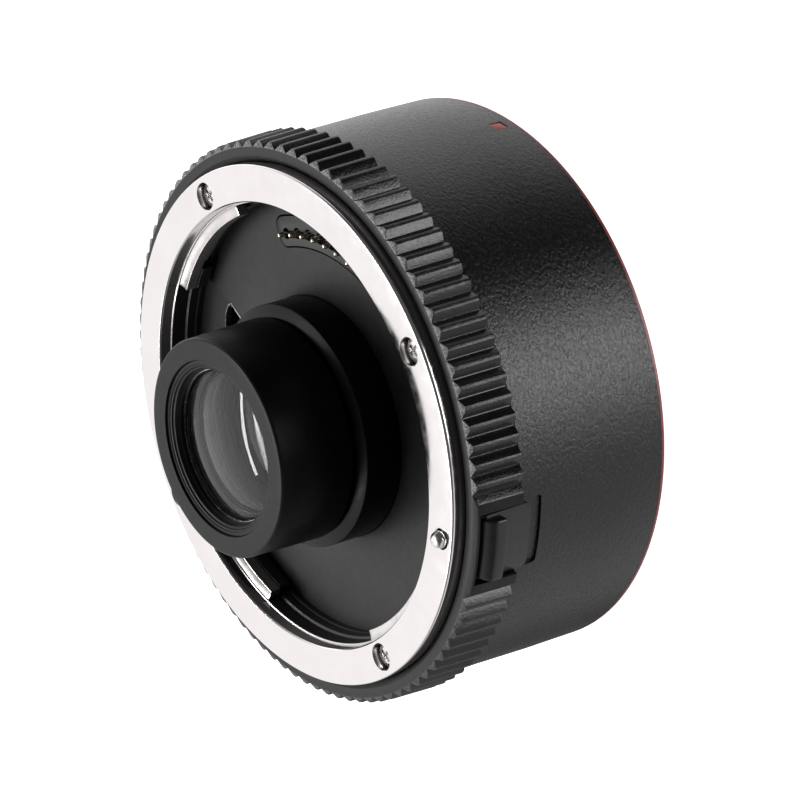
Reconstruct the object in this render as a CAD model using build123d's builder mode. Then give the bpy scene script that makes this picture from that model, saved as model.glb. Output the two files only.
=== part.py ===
from build123d import *
import os
from math import cos, degrees, radians, sin, sqrt

# A 2x camera teleconverter, in millimetres.
# The optical axis is +Z and points to the lens side. Z = 0 is the camera-side flange.

# Overall sizes
FRONT_FLANGE_Z = 30.0        # seat of the lens, above the camera-side seat
BARREL_REAR_Z = 0.85         # rear end of the barrel, in front of its red trim ring
GRIP_REAR_Z = 21.95          # rear face of the ribbed ring
GRIP_FRONT_Z = 28.62         # front face of the ribbed ring
TUBE_FRONT_Z = 40.4          # front face of the lens tube
FIT_GAP = 0.05               # radial gap between turned pieces that locate each other

# Bayonets, after the 55 mm mount whose throat is 52 mm
THROAT_RADIUS = 27.2
CLAW_RADIUS = 25.85
CLAW_SPANS = [(118.3, 158.4), (214.7, 254.7), (301, 341), (28, 66)]
STOP_SPANS = [(151, 158.2), (235, 254)]
FLANGE_RADIUS = 31.9
SCREW_CIRCLE = 29.5
SCREW_ANGLES = [124.2, 36.5, -51.5, -144.0]
LOCK_RADIUS = 29.9           # lock pin, from the axis
LOCK_ANGLE = -6.6            # lock pin and release slider, round the axis

# Contacts
CONTACT_COUNT = 11
CONTACT_PITCH = 5.84
CONTACT_CENTRE = 80.6
CONTACT_RADIUS = 22.45
CONTACT_TIP_Z = 25.7
BLOCK_HALF_ANGLE = 33.4

# Ribbed ring
GROOVE_PITCH = 360 / 94
GROOVE_FIRST = 4.9           # first groove beside the slider, round the axis
GROOVE_COUNT = 89
GROOVE_DEPTH = 0.8
GROOVE_SLOPE = 1.16          # half width gained per millimetre of depth

os.makedirs("parts", exist_ok=True)


def save(piece, name):
    """Label a finished part and write it under that name."""
    piece.part.label = name
    export_step(piece.part, f"parts/{name}.step")


def at(radius, angle, height=0.0):
    """A point at a radius and an angle round the axis."""
    return (radius * cos(radians(angle)), radius * sin(radians(angle)), height)


def half_section(*outline):
    """A closed outline of (radius, height) points, ready to be turned about the axis."""
    with BuildSketch(Plane.XZ) as section:
        with BuildLine():
            Polyline(*outline, close=True)
        make_face()
    return section.sketch


def sector(height, inner, outer, start, end):
    """A flat sector between two radii and two angles, at a height."""
    with BuildSketch(Plane.XY.offset(height)) as piece:
        with BuildLine():
            low = CenterArc((0, 0), inner, start, end - start)
            high = CenterArc((0, 0), outer, start, end - start)
            Line(low @ 0, high @ 0)
            Line(low @ 1, high @ 1)
        make_face()
    return piece.sketch


def spoke_plane(angle, height=0.0):
    """A level plane whose X direction points outwards at an angle."""
    return Plane(origin=(0, 0, height), x_dir=at(1, angle), z_dir=(0, 0, 1))


def spoke_block(angle, height, inner, outer, width, offset=0.0):
    """A rectangle between two radii along a spoke, shifted sideways by an offset."""
    with BuildSketch(spoke_plane(angle, height)) as piece:
        with Locations(((inner + outer) / 2, offset)):
            Rectangle(outer - inner, width)
    return piece.sketch


def contact_angles():
    """The angle of each contact round the axis, from the first to the last."""
    middle = (CONTACT_COUNT - 1) / 2
    return [CONTACT_CENTRE + (middle - index) * CONTACT_PITCH for index in range(CONTACT_COUNT)]


def coil_path(centre, radius, bottom, top, turns):
    """A rising coil about a vertical line, as arcs of a quarter turn."""
    steps = 4 * turns
    rise = (top - bottom) / steps

    def point(quarter):
        turn = radians(90 * quarter)
        x = centre[0] + radius * cos(turn)
        y = centre[1] + radius * sin(turn)
        return (x, y, bottom + rise * quarter)

    with BuildLine() as path:
        for step in range(steps):
            ThreePointArc(point(step), point(step + 0.5), point(step + 1))
    return path.line


# Front bayonet ring: the chrome seat for the lens, with four claws behind its lip
RING_REAR_Z = 26.2
LEDGE_Z = 28.4               # narrow ledge at the foot of the bore
STEP_Z = 28.25
CLAW_REAR_Z = 26.6
CLAW_FRONT_Z = 28.05
LINER_SEAT_RADIUS = 27.7
COUNTERBORE_RADIUS = 1.68
COUNTERBORE_DEPTH = 1.4
SHANK_RADIUS = 0.8
LOCK_PIN_RADIUS = 1.15
LOCK_PIN_CLEARANCE = 0.05
LOCK_MOUTH_CHAMFER = 0.25

with BuildPart() as front_bayonet_ring:
    revolve(
        half_section(
            (LINER_SEAT_RADIUS, RING_REAR_Z),
            (FLANGE_RADIUS, RING_REAR_Z),
            (FLANGE_RADIUS, FRONT_FLANGE_Z - 0.2),
            (FLANGE_RADIUS - 0.2, FRONT_FLANGE_Z),
            (THROAT_RADIUS + 0.3, FRONT_FLANGE_Z),
            (THROAT_RADIUS + 0.15, FRONT_FLANGE_Z - 0.2),
            (THROAT_RADIUS + 0.1, LEDGE_Z + 0.05),
            (THROAT_RADIUS - 0.1, LEDGE_Z),
            (THROAT_RADIUS - 0.1, STEP_Z),
            (LINER_SEAT_RADIUS, STEP_Z),
        ),
        axis=Axis.Z,
    )
    for claw_start, claw_end in CLAW_SPANS:
        claw = half_section(
            (CLAW_RADIUS, CLAW_REAR_Z),
            (LINER_SEAT_RADIUS + 0.5, CLAW_REAR_Z),
            (LINER_SEAT_RADIUS + 0.5, LEDGE_Z + 0.3),
            (THROAT_RADIUS + 0.2, LEDGE_Z + 0.3),
            (THROAT_RADIUS, LEDGE_Z),
            (THROAT_RADIUS - 0.25, LEDGE_Z - 0.25),
            (THROAT_RADIUS - 0.6, CLAW_FRONT_Z - 0.03),
            (CLAW_RADIUS + 0.1, CLAW_FRONT_Z),
            (CLAW_RADIUS, CLAW_FRONT_Z - 0.1),
        ).rotate(Axis.Z, claw_start)
        revolve(claw, axis=Axis.Z, revolution_arc=claw_end - claw_start)
    for angle in SCREW_ANGLES:
        with BuildSketch(Plane.XY.offset(FRONT_FLANGE_Z)):
            with Locations(at(SCREW_CIRCLE, angle)):
                Circle(COUNTERBORE_RADIUS)
        extrude(amount=-COUNTERBORE_DEPTH, mode=Mode.SUBTRACT)
        with BuildSketch(Plane.XY.offset(FRONT_FLANGE_Z)):
            with Locations(at(SCREW_CIRCLE, angle)):
                Circle(SHANK_RADIUS + FIT_GAP)
        extrude(amount=RING_REAR_Z - FRONT_FLANGE_Z, mode=Mode.SUBTRACT)
    with BuildSketch(Plane.XY.offset(FRONT_FLANGE_Z)):
        with Locations(at(LOCK_RADIUS, LOCK_ANGLE)):
            Circle(LOCK_PIN_RADIUS + LOCK_PIN_CLEARANCE)
    extrude(amount=RING_REAR_Z - FRONT_FLANGE_Z, mode=Mode.SUBTRACT)
    pin_mouth = front_bayonet_ring.edges().filter_by(GeomType.CIRCLE).group_by(Axis.Z)[-1]
    chamfer(pin_mouth.sort_by(lambda edge: edge.radius)[0], LOCK_MOUTH_CHAMFER)
save(front_bayonet_ring, "front_bayonet_ring")

# Front mount screws: four pan heads sunk in the ring, each with a cross recess
HEAD_RADIUS = 1.55
HEAD_HEIGHT = 0.75
FRONT_SCREW_LENGTH = 6.5
RECESS_LENGTH = 1.9
RECESS_WIDTH = 0.42
RECESS_DEPTH = 0.5

with BuildPart() as front_mount_screws:
    for angle in SCREW_ANGLES:
        seat_z = FRONT_FLANGE_Z - COUNTERBORE_DEPTH
        with BuildSketch(Plane.XY.offset(seat_z)):
            with Locations(at(SCREW_CIRCLE, angle)):
                Circle(HEAD_RADIUS)
        extrude(amount=HEAD_HEIGHT, taper=12)
        with BuildSketch(Plane.XY.offset(seat_z)):
            with Locations(at(SCREW_CIRCLE, angle)):
                Circle(SHANK_RADIUS)
        extrude(amount=-FRONT_SCREW_LENGTH)
        with BuildSketch(spoke_plane(angle + 20, seat_z + HEAD_HEIGHT)):
            with Locations((SCREW_CIRCLE * cos(radians(20)), -SCREW_CIRCLE * sin(radians(20)))):
                Rectangle(RECESS_LENGTH, RECESS_WIDTH)
                Rectangle(RECESS_WIDTH, RECESS_LENGTH)
        extrude(amount=-RECESS_DEPTH, mode=Mode.SUBTRACT)
save(front_mount_screws, "front_mount_screws")

# Bayonet leaf spring: a thin steel ring behind the chrome ring, with a finger under each claw
LEAF_THICKNESS = 0.25
LEAF_FINGER_RADIUS = 26.2
LEAF_SPANS = [(126, 149), (218, 233), (309, 333), (36, 58)]
CHASSIS_OUTER = 31.4
CHASSIS_INNER = 27.75
LEAF_REAR_Z = RING_REAR_Z - LEAF_THICKNESS

with BuildPart() as bayonet_leaf_spring:
    extrude(sector(LEAF_REAR_Z, CHASSIS_INNER, CHASSIS_OUTER, 0, 350), amount=LEAF_THICKNESS)
    for start, end in LEAF_SPANS:
        finger = sector(LEAF_REAR_Z, LEAF_FINGER_RADIUS, CHASSIS_INNER + 0.2, start, end)
        extrude(finger, amount=LEAF_THICKNESS)
    for angle in SCREW_ANGLES:
        with BuildSketch(Plane.XY.offset(LEAF_REAR_Z)):
            with Locations(at(SCREW_CIRCLE, angle)):
                Circle(SHANK_RADIUS + 0.2)
        extrude(amount=LEAF_THICKNESS, mode=Mode.SUBTRACT)
save(bayonet_leaf_spring, "bayonet_leaf_spring")

# Ribbed grip ring round the front, with a plain land and a pocket for the release slider
SPIGOT_RADIUS = 33.2         # front spigot of the barrel that carries the grip ring
SPIGOT_TOP_Z = 26.0
GRIP_REAR_RADIUS = 34.8
GRIP_FRONT_RADIUS = 34.5
GRIP_CHAMFER = 0.29          # height of the ribs' slope to the front face
GRIP_FACE_OUTER = 33.75
GRIP_FACE_INNER = 32.6
GRIP_BEVEL = 0.57
POCKET_HALF_ANGLE = 7.7
POCKET_FLOOR_RADIUS = 33.0
POCKET_FRONT_Z = 28.1
POCKET_REAR_Z = 18.7
POCKET_CORNER = 1.0


def groove_section(height, ring_radius):
    """The V of one groove at a height, for the ring's radius there."""
    reach = 2 * GROOVE_DEPTH
    bottom = ring_radius - GROOVE_DEPTH
    with BuildSketch(Plane.XY.offset(height)) as section:
        with BuildLine():
            Polyline(
                (bottom, 0),
                (bottom + reach, reach * GROOVE_SLOPE),
                (bottom + reach, -reach * GROOVE_SLOPE),
                close=True,
            )
        make_face()
    return section.sketch


def pocket_outline(height):
    """The slider's pocket at a height, open to the outside."""
    start = LOCK_ANGLE - POCKET_HALF_ANGLE
    end = LOCK_ANGLE + POCKET_HALF_ANGLE
    return sector(height, POCKET_FLOOR_RADIUS, GRIP_REAR_RADIUS + 1, start, end)


with BuildPart() as grip_ring:
    revolve(
        half_section(
            (SPIGOT_RADIUS + FIT_GAP, GRIP_REAR_Z),
            (GRIP_REAR_RADIUS, GRIP_REAR_Z),
            (GRIP_FRONT_RADIUS, GRIP_FRONT_Z - GRIP_CHAMFER),
            (GRIP_FACE_OUTER, GRIP_FRONT_Z),
            (GRIP_FACE_INNER, GRIP_FRONT_Z),
            (FLANGE_RADIUS + FIT_GAP, GRIP_FRONT_Z - GRIP_BEVEL),
            (FLANGE_RADIUS + FIT_GAP, SPIGOT_TOP_Z),
            (SPIGOT_RADIUS + FIT_GAP, SPIGOT_TOP_Z),
        ),
        axis=Axis.Z,
    )
    with BuildPart(mode=Mode.PRIVATE) as groove:
        loft(
            [
                groove_section(GRIP_REAR_Z, GRIP_REAR_RADIUS),
                groove_section(GRIP_FRONT_Z, GRIP_FRONT_RADIUS),
            ]
        )
    with PolarLocations(0, GROOVE_COUNT, GROOVE_FIRST, (GROOVE_COUNT - 1) * GROOVE_PITCH, endpoint=True):
        add(groove.part, mode=Mode.SUBTRACT)
    extrude(pocket_outline(GRIP_REAR_Z), amount=POCKET_FRONT_Z - GRIP_REAR_Z, mode=Mode.SUBTRACT)
save(grip_ring, "grip_ring")

# Main barrel: the black shell, a little wider at the rear
BARREL_FRONT_Z = 21.8
BARREL_FRONT_RADIUS = 33.78
BARREL_REAR_RADIUS = 34.12
BARREL_INNER = 32.0
RIB_INNER = CHASSIS_OUTER + FIT_GAP
SLOT_WIDTH = 5.6
SLOT_BOTTOM_Z = 20.2
SLOT_TOP_Z = 25.3
FRONT_RIB_Z = 23.4           # rear end of the inner rib that holds the front of the chassis
REAR_RIB_Z = 4.0             # front end of the inner rib at the rear
RIB_SLOPE = 0.8
INDEX_ANGLE = 81.0           # index mark, round the axis
INDEX_Z = 2.7
INDEX_SIZE = 1.65
INDEX_THICKNESS = 0.35
INDEX_SEAT_DEPTH = 0.5
INDEX_SEAT = Plane(
    origin=at(BARREL_REAR_RADIUS - INDEX_SEAT_DEPTH, INDEX_ANGLE, INDEX_Z),
    x_dir=(0, 0, 1),
    z_dir=at(1, INDEX_ANGLE),
)

with BuildPart() as main_barrel:
    revolve(
        half_section(
            (RIB_INNER, BARREL_REAR_Z),
            (BARREL_REAR_RADIUS, BARREL_REAR_Z),
            (BARREL_REAR_RADIUS - 0.06, 8.0),
            (BARREL_FRONT_RADIUS + 0.06, 16.0),
            (BARREL_FRONT_RADIUS, BARREL_FRONT_Z - 0.2),
            (BARREL_FRONT_RADIUS - 0.2, BARREL_FRONT_Z),
            (SPIGOT_RADIUS, BARREL_FRONT_Z),
            (SPIGOT_RADIUS, SPIGOT_TOP_Z),
            (BARREL_INNER, SPIGOT_TOP_Z),
            (RIB_INNER, SPIGOT_TOP_Z - 0.2),
            (RIB_INNER, FRONT_RIB_Z),
            (BARREL_INNER, FRONT_RIB_Z - RIB_SLOPE),
            (BARREL_INNER, REAR_RIB_Z + RIB_SLOPE),
            (RIB_INNER, REAR_RIB_Z),
        ),
        axis=Axis.Z,
    )
    with BuildPart(mode=Mode.PRIVATE) as pocket:
        extrude(pocket_outline(POCKET_REAR_Z), amount=SPIGOT_TOP_Z - POCKET_REAR_Z)
        fillet(pocket.edges().filter_by(GeomType.LINE).group_by(Axis.Z)[0], POCKET_CORNER)
    add(pocket.part, mode=Mode.SUBTRACT)
    extrude(
        spoke_block(LOCK_ANGLE, SLOT_BOTTOM_Z, BARREL_INNER - 1, SPIGOT_RADIUS + 1, SLOT_WIDTH),
        amount=SLOT_TOP_Z - SLOT_BOTTOM_Z,
        mode=Mode.SUBTRACT,
    )
    with BuildSketch(INDEX_SEAT):
        Rectangle(INDEX_SIZE, INDEX_SIZE)
    extrude(amount=1, mode=Mode.SUBTRACT)
save(main_barrel, "main_barrel")

# Index mark: the red square, set into the barrel a little below its surface
with BuildPart() as lens_index_mark:
    with BuildSketch(INDEX_SEAT):
        Rectangle(INDEX_SIZE - FIT_GAP, INDEX_SIZE - FIT_GAP)
    extrude(amount=INDEX_THICKNESS)
save(lens_index_mark, "lens_index_mark")

# Red trim ring clamped behind the barrel
TRIM_REAR_Z = 0.4
TRIM_INNER = CHASSIS_OUTER + FIT_GAP

with BuildPart() as red_trim_ring:
    revolve(
        half_section(
            (TRIM_INNER, TRIM_REAR_Z),
            (BARREL_REAR_RADIUS - 0.15, TRIM_REAR_Z),
            (BARREL_REAR_RADIUS, TRIM_REAR_Z + 0.15),
            (BARREL_REAR_RADIUS, BARREL_REAR_Z),
            (TRIM_INNER, BARREL_REAR_Z),
        ),
        axis=Axis.Z,
    )
save(red_trim_ring, "red_trim_ring")

# Outline shared by the front contact block and the openings round it
BLOCK_INNER = 20.88
BLOCK_OUTER = 24.55
BLOCK_CORNER = 1.3


def block_outline(height, margin):
    """The contact block's outline, grown all round by a margin."""
    grow = degrees(margin / CONTACT_RADIUS)
    start = CONTACT_CENTRE - BLOCK_HALF_ANGLE - grow
    end = CONTACT_CENTRE + BLOCK_HALF_ANGLE + grow
    with BuildSketch(Plane.XY.offset(height)) as outline:
        add(sector(0, BLOCK_INNER - margin, BLOCK_OUTER + margin, start, end))
        fillet(outline.vertices(), BLOCK_CORNER + margin)
    return outline.sketch


# Inner chassis: the metal frame that joins both bayonets and carries the optics and board
CHASSIS_REAR_Z = 2.4
WEB_REAR_Z = 19.5
WEB_FRONT_Z = 22.5
HUB_REAR_Z = 12.0
HUB_RADIUS = 15.5
CELL_RADIUS = 13.6
POST_ANGLES = [10.0, 150.0, 260.0]
POST_CIRCLE = 24.5
POST_RADIUS = 1.6
BOARD_TOP_Z = 16.8
BOARD_SCREW_RADIUS = 0.6
LOCK_SLOT_INNER = 28.3
SPRING_SEAT_Z = 18.0
SHELF_Z = 23.55              # seat of the front baffle
SHELF_INNER = 26.0
WINDOW_MARGIN = 0.3
REAR_SCREW_CIRCLE = 29.0
REAR_SCREW_ANGLES = [45, 135, 225, 315]
FRONT_BORE_DEPTH = 5.6
REAR_BORE_DEPTH = 8.6
BOARD_BORE_DEPTH = 2.5

with BuildPart() as inner_chassis:
    revolve(
        half_section(
            (CHASSIS_INNER, CHASSIS_REAR_Z),
            (CHASSIS_OUTER, CHASSIS_REAR_Z),
            (CHASSIS_OUTER, LEAF_REAR_Z),
            (CHASSIS_INNER, LEAF_REAR_Z),
            (CHASSIS_INNER, SHELF_Z),
            (SHELF_INNER, SHELF_Z),
            (SHELF_INNER, WEB_FRONT_Z),
            (CELL_RADIUS + FIT_GAP, WEB_FRONT_Z),
            (CELL_RADIUS + FIT_GAP, HUB_REAR_Z),
            (HUB_RADIUS, HUB_REAR_Z),
            (HUB_RADIUS, WEB_REAR_Z),
            (CHASSIS_INNER, WEB_REAR_Z),
        ),
        axis=Axis.Z,
    )
    for angle in POST_ANGLES:
        with BuildSketch(Plane.XY.offset(WEB_REAR_Z)):
            with Locations(at(POST_CIRCLE, angle)):
                Circle(POST_RADIUS)
        extrude(amount=BOARD_TOP_Z - WEB_REAR_Z)
    extrude(block_outline(WEB_REAR_Z, WINDOW_MARGIN), amount=WEB_FRONT_Z - WEB_REAR_Z, mode=Mode.SUBTRACT)
    extrude(
        spoke_block(LOCK_ANGLE, SPRING_SEAT_Z, LOCK_SLOT_INNER, CHASSIS_OUTER + 1, SLOT_WIDTH),
        amount=LEAF_REAR_Z - SPRING_SEAT_Z,
        mode=Mode.SUBTRACT,
    )
    for angle in SCREW_ANGLES:
        with BuildSketch(Plane.XY.offset(LEAF_REAR_Z)):
            with Locations(at(SCREW_CIRCLE, angle)):
                Circle(SHANK_RADIUS + FIT_GAP)
        extrude(amount=-FRONT_BORE_DEPTH, mode=Mode.SUBTRACT)
    for angle in REAR_SCREW_ANGLES:
        with BuildSketch(Plane.XY.offset(CHASSIS_REAR_Z)):
            with Locations(at(REAR_SCREW_CIRCLE, angle)):
                Circle(SHANK_RADIUS + FIT_GAP)
        extrude(amount=REAR_BORE_DEPTH, mode=Mode.SUBTRACT)
    for angle in POST_ANGLES:
        with BuildSketch(Plane.XY.offset(BOARD_TOP_Z)):
            with Locations(at(POST_CIRCLE, angle)):
                Circle(BOARD_SCREW_RADIUS + FIT_GAP)
        extrude(amount=BOARD_BORE_DEPTH, mode=Mode.SUBTRACT)
save(inner_chassis, "inner_chassis")

# Throat liner: the black sleeve behind the chrome lip, open at the claws
BAFFLE_TOP_Z = 24.4
BAFFLE_REAR_Z = 23.6
LINER_INNER = 27.1
LINER_STEP_Z = 26.45
LINER_FOOT_Z = BAFFLE_TOP_Z + 0.05
STOP_RADIUS = 25.7
STOP_FRONT_Z = 26.5
STOP_REAR_Z = 25.0
NOTCH_REAR_Z = LEAF_REAR_Z - 0.1
NOTCH_MARGIN = 0.5           # degrees of room at each end of a claw

with BuildPart() as throat_liner:
    revolve(
        half_section(
            (LINER_INNER - 0.5, LINER_FOOT_Z),
            (LINER_SEAT_RADIUS - FIT_GAP, LINER_FOOT_Z),
            (LINER_SEAT_RADIUS - FIT_GAP, STEP_Z - 0.05),
            (LINER_INNER, STEP_Z - 0.05),
            (LINER_INNER, LINER_STEP_Z),
            (LINER_INNER - 0.35, LINER_STEP_Z - 0.15),
            (LINER_INNER - 0.35, STOP_REAR_Z + 0.2),
            (LINER_INNER - 0.5, STOP_REAR_Z + 0.1),
        ),
        axis=Axis.Z,
    )
    for claw_start, claw_end in CLAW_SPANS:
        notch = sector(
            NOTCH_REAR_Z,
            LINER_INNER - 1,
            LINER_SEAT_RADIUS + 1,
            claw_start - NOTCH_MARGIN,
            claw_end + NOTCH_MARGIN,
        )
        extrude(notch, amount=STEP_Z - NOTCH_REAR_Z, mode=Mode.SUBTRACT)
    for start, end in STOP_SPANS:
        stop = sector(STOP_REAR_Z, STOP_RADIUS, LINER_INNER - 0.1, start, end)
        extrude(stop, amount=STOP_FRONT_Z - STOP_REAR_Z)
save(throat_liner, "throat_liner")

# Front baffle: the matte plate across the throat
COLLAR_RADIUS = 14.9
BAFFLE_RADIUS = 27.6
BLOCK_GAP = 0.2
OPENING_CORNER = 0.5

with BuildPart() as front_baffle:
    with BuildSketch(Plane.XY.offset(BAFFLE_REAR_Z)):
        Circle(BAFFLE_RADIUS)
        Circle(COLLAR_RADIUS + FIT_GAP, mode=Mode.SUBTRACT)
    extrude(amount=BAFFLE_TOP_Z - BAFFLE_REAR_Z)
    extrude(block_outline(BAFFLE_REAR_Z, BLOCK_GAP), amount=BAFFLE_TOP_Z - BAFFLE_REAR_Z, mode=Mode.SUBTRACT)
    # Pointed opening beside the lens tube
    with BuildSketch(Plane.XY.offset(BAFFLE_REAR_Z)) as opening:
        with BuildLine():
            tip = at(21.35, 157.2)
            outer_foot = at(20.9, 170.5)
            inner_foot = at(18.2, 158.8)
            ThreePointArc(tip, at(21.75, 162.5), outer_foot)
            Polyline(outer_foot, inner_foot, tip)
        make_face()
        fillet(opening.vertices(), OPENING_CORNER)
    extrude(amount=BAFFLE_TOP_Z - BAFFLE_REAR_Z, mode=Mode.SUBTRACT)
save(front_baffle, "front_baffle")

# Front contact block: the moulded insert that guides the eleven sprung pins
BLOCK_TOP_Z = 24.5
BLOCK_REAR_Z = 21.0
BLOCK_FLANGE = 0.9           # reach of the flange that the baffle holds down
SLEEVE_RADIUS = 0.45
SLEEVE_BORE = 0.36
WELL_RADIUS = 0.68
WELL_DEPTH = 0.9
TROUGH_INNER = CONTACT_RADIUS - 0.6
TROUGH_OUTER = CONTACT_RADIUS + 0.3

with BuildPart() as front_contact_block:
    extrude(block_outline(BLOCK_REAR_Z, 0), amount=BLOCK_TOP_Z - BLOCK_REAR_Z)
    flange = block_outline(WEB_FRONT_Z + FIT_GAP, BLOCK_FLANGE)
    extrude(flange, amount=BAFFLE_REAR_Z - WEB_FRONT_Z - 2 * FIT_GAP)
    trough_start = contact_angles()[-1]
    trough_end = contact_angles()[0]
    trough = sector(BLOCK_TOP_Z - WELL_DEPTH, TROUGH_INNER, TROUGH_OUTER, trough_start, trough_end)
    extrude(trough, amount=WELL_DEPTH, mode=Mode.SUBTRACT)
    for angle in contact_angles():
        with BuildSketch(Plane.XY.offset(BLOCK_TOP_Z)):
            with Locations(at(CONTACT_RADIUS, angle)):
                Circle(WELL_RADIUS)
        extrude(amount=-WELL_DEPTH, mode=Mode.SUBTRACT)
        with BuildSketch(Plane.XY.offset(BLOCK_TOP_Z)):
            with Locations(at(CONTACT_RADIUS, angle)):
                Circle(SLEEVE_RADIUS + 0.02)
        extrude(amount=BLOCK_REAR_Z - BLOCK_TOP_Z, mode=Mode.SUBTRACT)
save(front_contact_block, "front_contact_block")

# Contact pin sleeves: eleven small cups below the block's wells
SLEEVE_TOP_Z = BLOCK_TOP_Z - WELL_DEPTH
SLEEVE_REAR_Z = 18.6
SLEEVE_FLOOR = 0.2

with BuildPart() as contact_pin_sleeves:
    for angle in contact_angles():
        with BuildSketch(Plane.XY.offset(SLEEVE_REAR_Z)):
            with Locations(at(CONTACT_RADIUS, angle)):
                Circle(SLEEVE_RADIUS)
        extrude(amount=SLEEVE_TOP_Z - SLEEVE_REAR_Z)
        with BuildSketch(Plane.XY.offset(SLEEVE_TOP_Z)):
            with Locations(at(CONTACT_RADIUS, angle)):
                Circle(SLEEVE_BORE)
        extrude(amount=SLEEVE_REAR_Z + SLEEVE_FLOOR - SLEEVE_TOP_Z, mode=Mode.SUBTRACT)
save(contact_pin_sleeves, "contact_pin_sleeves")

# Contact pins: domed plungers, each sliding in its sleeve
PIN_RADIUS = 0.31
PIN_TAIL_Z = 21.4

for number, angle in enumerate(contact_angles(), start=1):
    with BuildPart() as contact_pin:
        with BuildSketch(spoke_plane(angle, PIN_TAIL_Z)):
            with Locations((CONTACT_RADIUS, 0)):
                Circle(PIN_RADIUS)
        extrude(amount=CONTACT_TIP_Z - PIN_TAIL_Z)
        fillet(contact_pin.edges().sort_by(Axis.Z)[-1], PIN_RADIUS * 0.9)
    save(contact_pin, f"contact_pin_{number:02d}")

# Contact pin springs: one small coil under each pin
PIN_SPRING_RADIUS = 0.24
PIN_SPRING_WIRE = 0.05        # half the side of the square wire
PIN_SPRING_TURNS = 5
SPRING_END_GAP = 0.02        # between a coil's end and what it rests on

with BuildPart() as contact_pin_springs:
    for angle in contact_angles():
        centre = at(CONTACT_RADIUS, angle)
        bottom = SLEEVE_REAR_Z + SLEEVE_FLOOR + PIN_SPRING_WIRE + SPRING_END_GAP
        top = PIN_TAIL_Z - PIN_SPRING_WIRE - SPRING_END_GAP
        coil = coil_path(centre, PIN_SPRING_RADIUS, bottom, top, PIN_SPRING_TURNS)
        with BuildSketch(Plane(origin=coil @ 0, z_dir=coil % 0)) as wire:
            Rectangle(2 * PIN_SPRING_WIRE, 2 * PIN_SPRING_WIRE)
        sweep(wire.sketch, path=coil)
save(contact_pin_springs, "contact_pin_springs")

# Collar round the foot of the lens tube
COLLAR_TOP_Z = 29.3
COLLAR_LIP_Z = 29.8
COLLAR_LIP_RADIUS = 13.45
COLLAR_FLANGE_RADIUS = 17.0
SPIGOT_TUBE_RADIUS = 12.6

with BuildPart() as lens_tube_collar:
    revolve(
        half_section(
            (SPIGOT_TUBE_RADIUS + FIT_GAP, WEB_FRONT_Z),
            (COLLAR_FLANGE_RADIUS, WEB_FRONT_Z),
            (COLLAR_FLANGE_RADIUS, BAFFLE_REAR_Z - FIT_GAP),
            (COLLAR_RADIUS, BAFFLE_REAR_Z - FIT_GAP),
            (COLLAR_RADIUS, COLLAR_TOP_Z),
            (COLLAR_LIP_RADIUS, COLLAR_LIP_Z),
            (SPIGOT_TUBE_RADIUS + FIT_GAP, COLLAR_LIP_Z),
        ),
        axis=Axis.Z,
    )
save(lens_tube_collar, "lens_tube_collar")

# Front lens tube: the black nose that reaches into the lens
TUBE_REAR_Z = 30.5
TUBE_REAR_RADIUS = 13.6
TUBE_FRONT_RADIUS = 13.35
TUBE_MOUTH = 10.7
TUBE_BORE = 10.0
TUBE_TAIL_Z = 22.0
SHOULDER_Z = 36.6

with BuildPart() as front_lens_tube:
    revolve(
        half_section(
            (TUBE_BORE, TUBE_TAIL_Z),
            (SPIGOT_TUBE_RADIUS, TUBE_TAIL_Z),
            (SPIGOT_TUBE_RADIUS, TUBE_REAR_Z),
            (TUBE_REAR_RADIUS, TUBE_REAR_Z),
            (TUBE_FRONT_RADIUS, TUBE_FRONT_Z - 0.2),
            (TUBE_FRONT_RADIUS - 0.2, TUBE_FRONT_Z),
            (TUBE_MOUTH, TUBE_FRONT_Z),
            (TUBE_MOUTH, SHOULDER_Z),
            (TUBE_BORE, SHOULDER_Z),
        ),
        axis=Axis.Z,
    )
save(front_lens_tube, "front_lens_tube")

# Front retaining ring: the stepped black ring that holds the first element
RETAINER_TOP_Z = 40.1
RETAINER_CLEAR = 8.9

with BuildPart() as front_retaining_ring:
    revolve(
        half_section(
            (RETAINER_CLEAR, 38.5),
            (9.9, 38.2),
            (TUBE_MOUTH - 0.03, 38.2),
            (TUBE_MOUTH - 0.03, RETAINER_TOP_Z),
            (10.0, RETAINER_TOP_Z),
            (9.85, 39.75),
            (9.4, 39.6),
            (9.25, 39.3),
            (RETAINER_CLEAR, 39.0),
        ),
        axis=Axis.Z,
    )
save(front_retaining_ring, "front_retaining_ring")

# Lens elements, from the lens side to the camera side.
# Each has a rim radius, a front vertex and sag, and a rear vertex and sag.
# A positive sag bulges outwards from the element and a negative one is hollow.
CEMENT_GAP = 0.03
ELEMENTS = {
    "front_lens_element": (9.85, 39.35, 1.15, 37.9, -1.05),
    "front_doublet_flint": (9.6, 34.6, 0.9, 32.9, -1.5),
    "front_doublet_crown": (9.6, 32.9 - CEMENT_GAP, 1.5, 30.0, 0.9),
    "middle_lens_element": (9.6, 26.6, -0.9, 25.2, -1.1),
    "rear_doublet_crown": (11.4, 19.2, 1.6, 15.6, 1.4),
    "rear_doublet_flint": (11.4, 15.6 - CEMENT_GAP, -1.4, 14.0, 0.5),
    "rear_field_element": (12.0, 7.6, -1.0, 6.0, 0.6),
    "rear_lens_element": (12.4, 3.6, 1.1, 1.2, 0.3),
}


def drop(distance, rim, sag):
    """How far a spherical surface has fallen from its vertex at a distance from the axis."""
    curve = (rim**2 + sag**2) / (2 * sag)
    side = 1 if sag > 0 else -1
    return curve - side * sqrt(curve**2 - distance**2)


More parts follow.
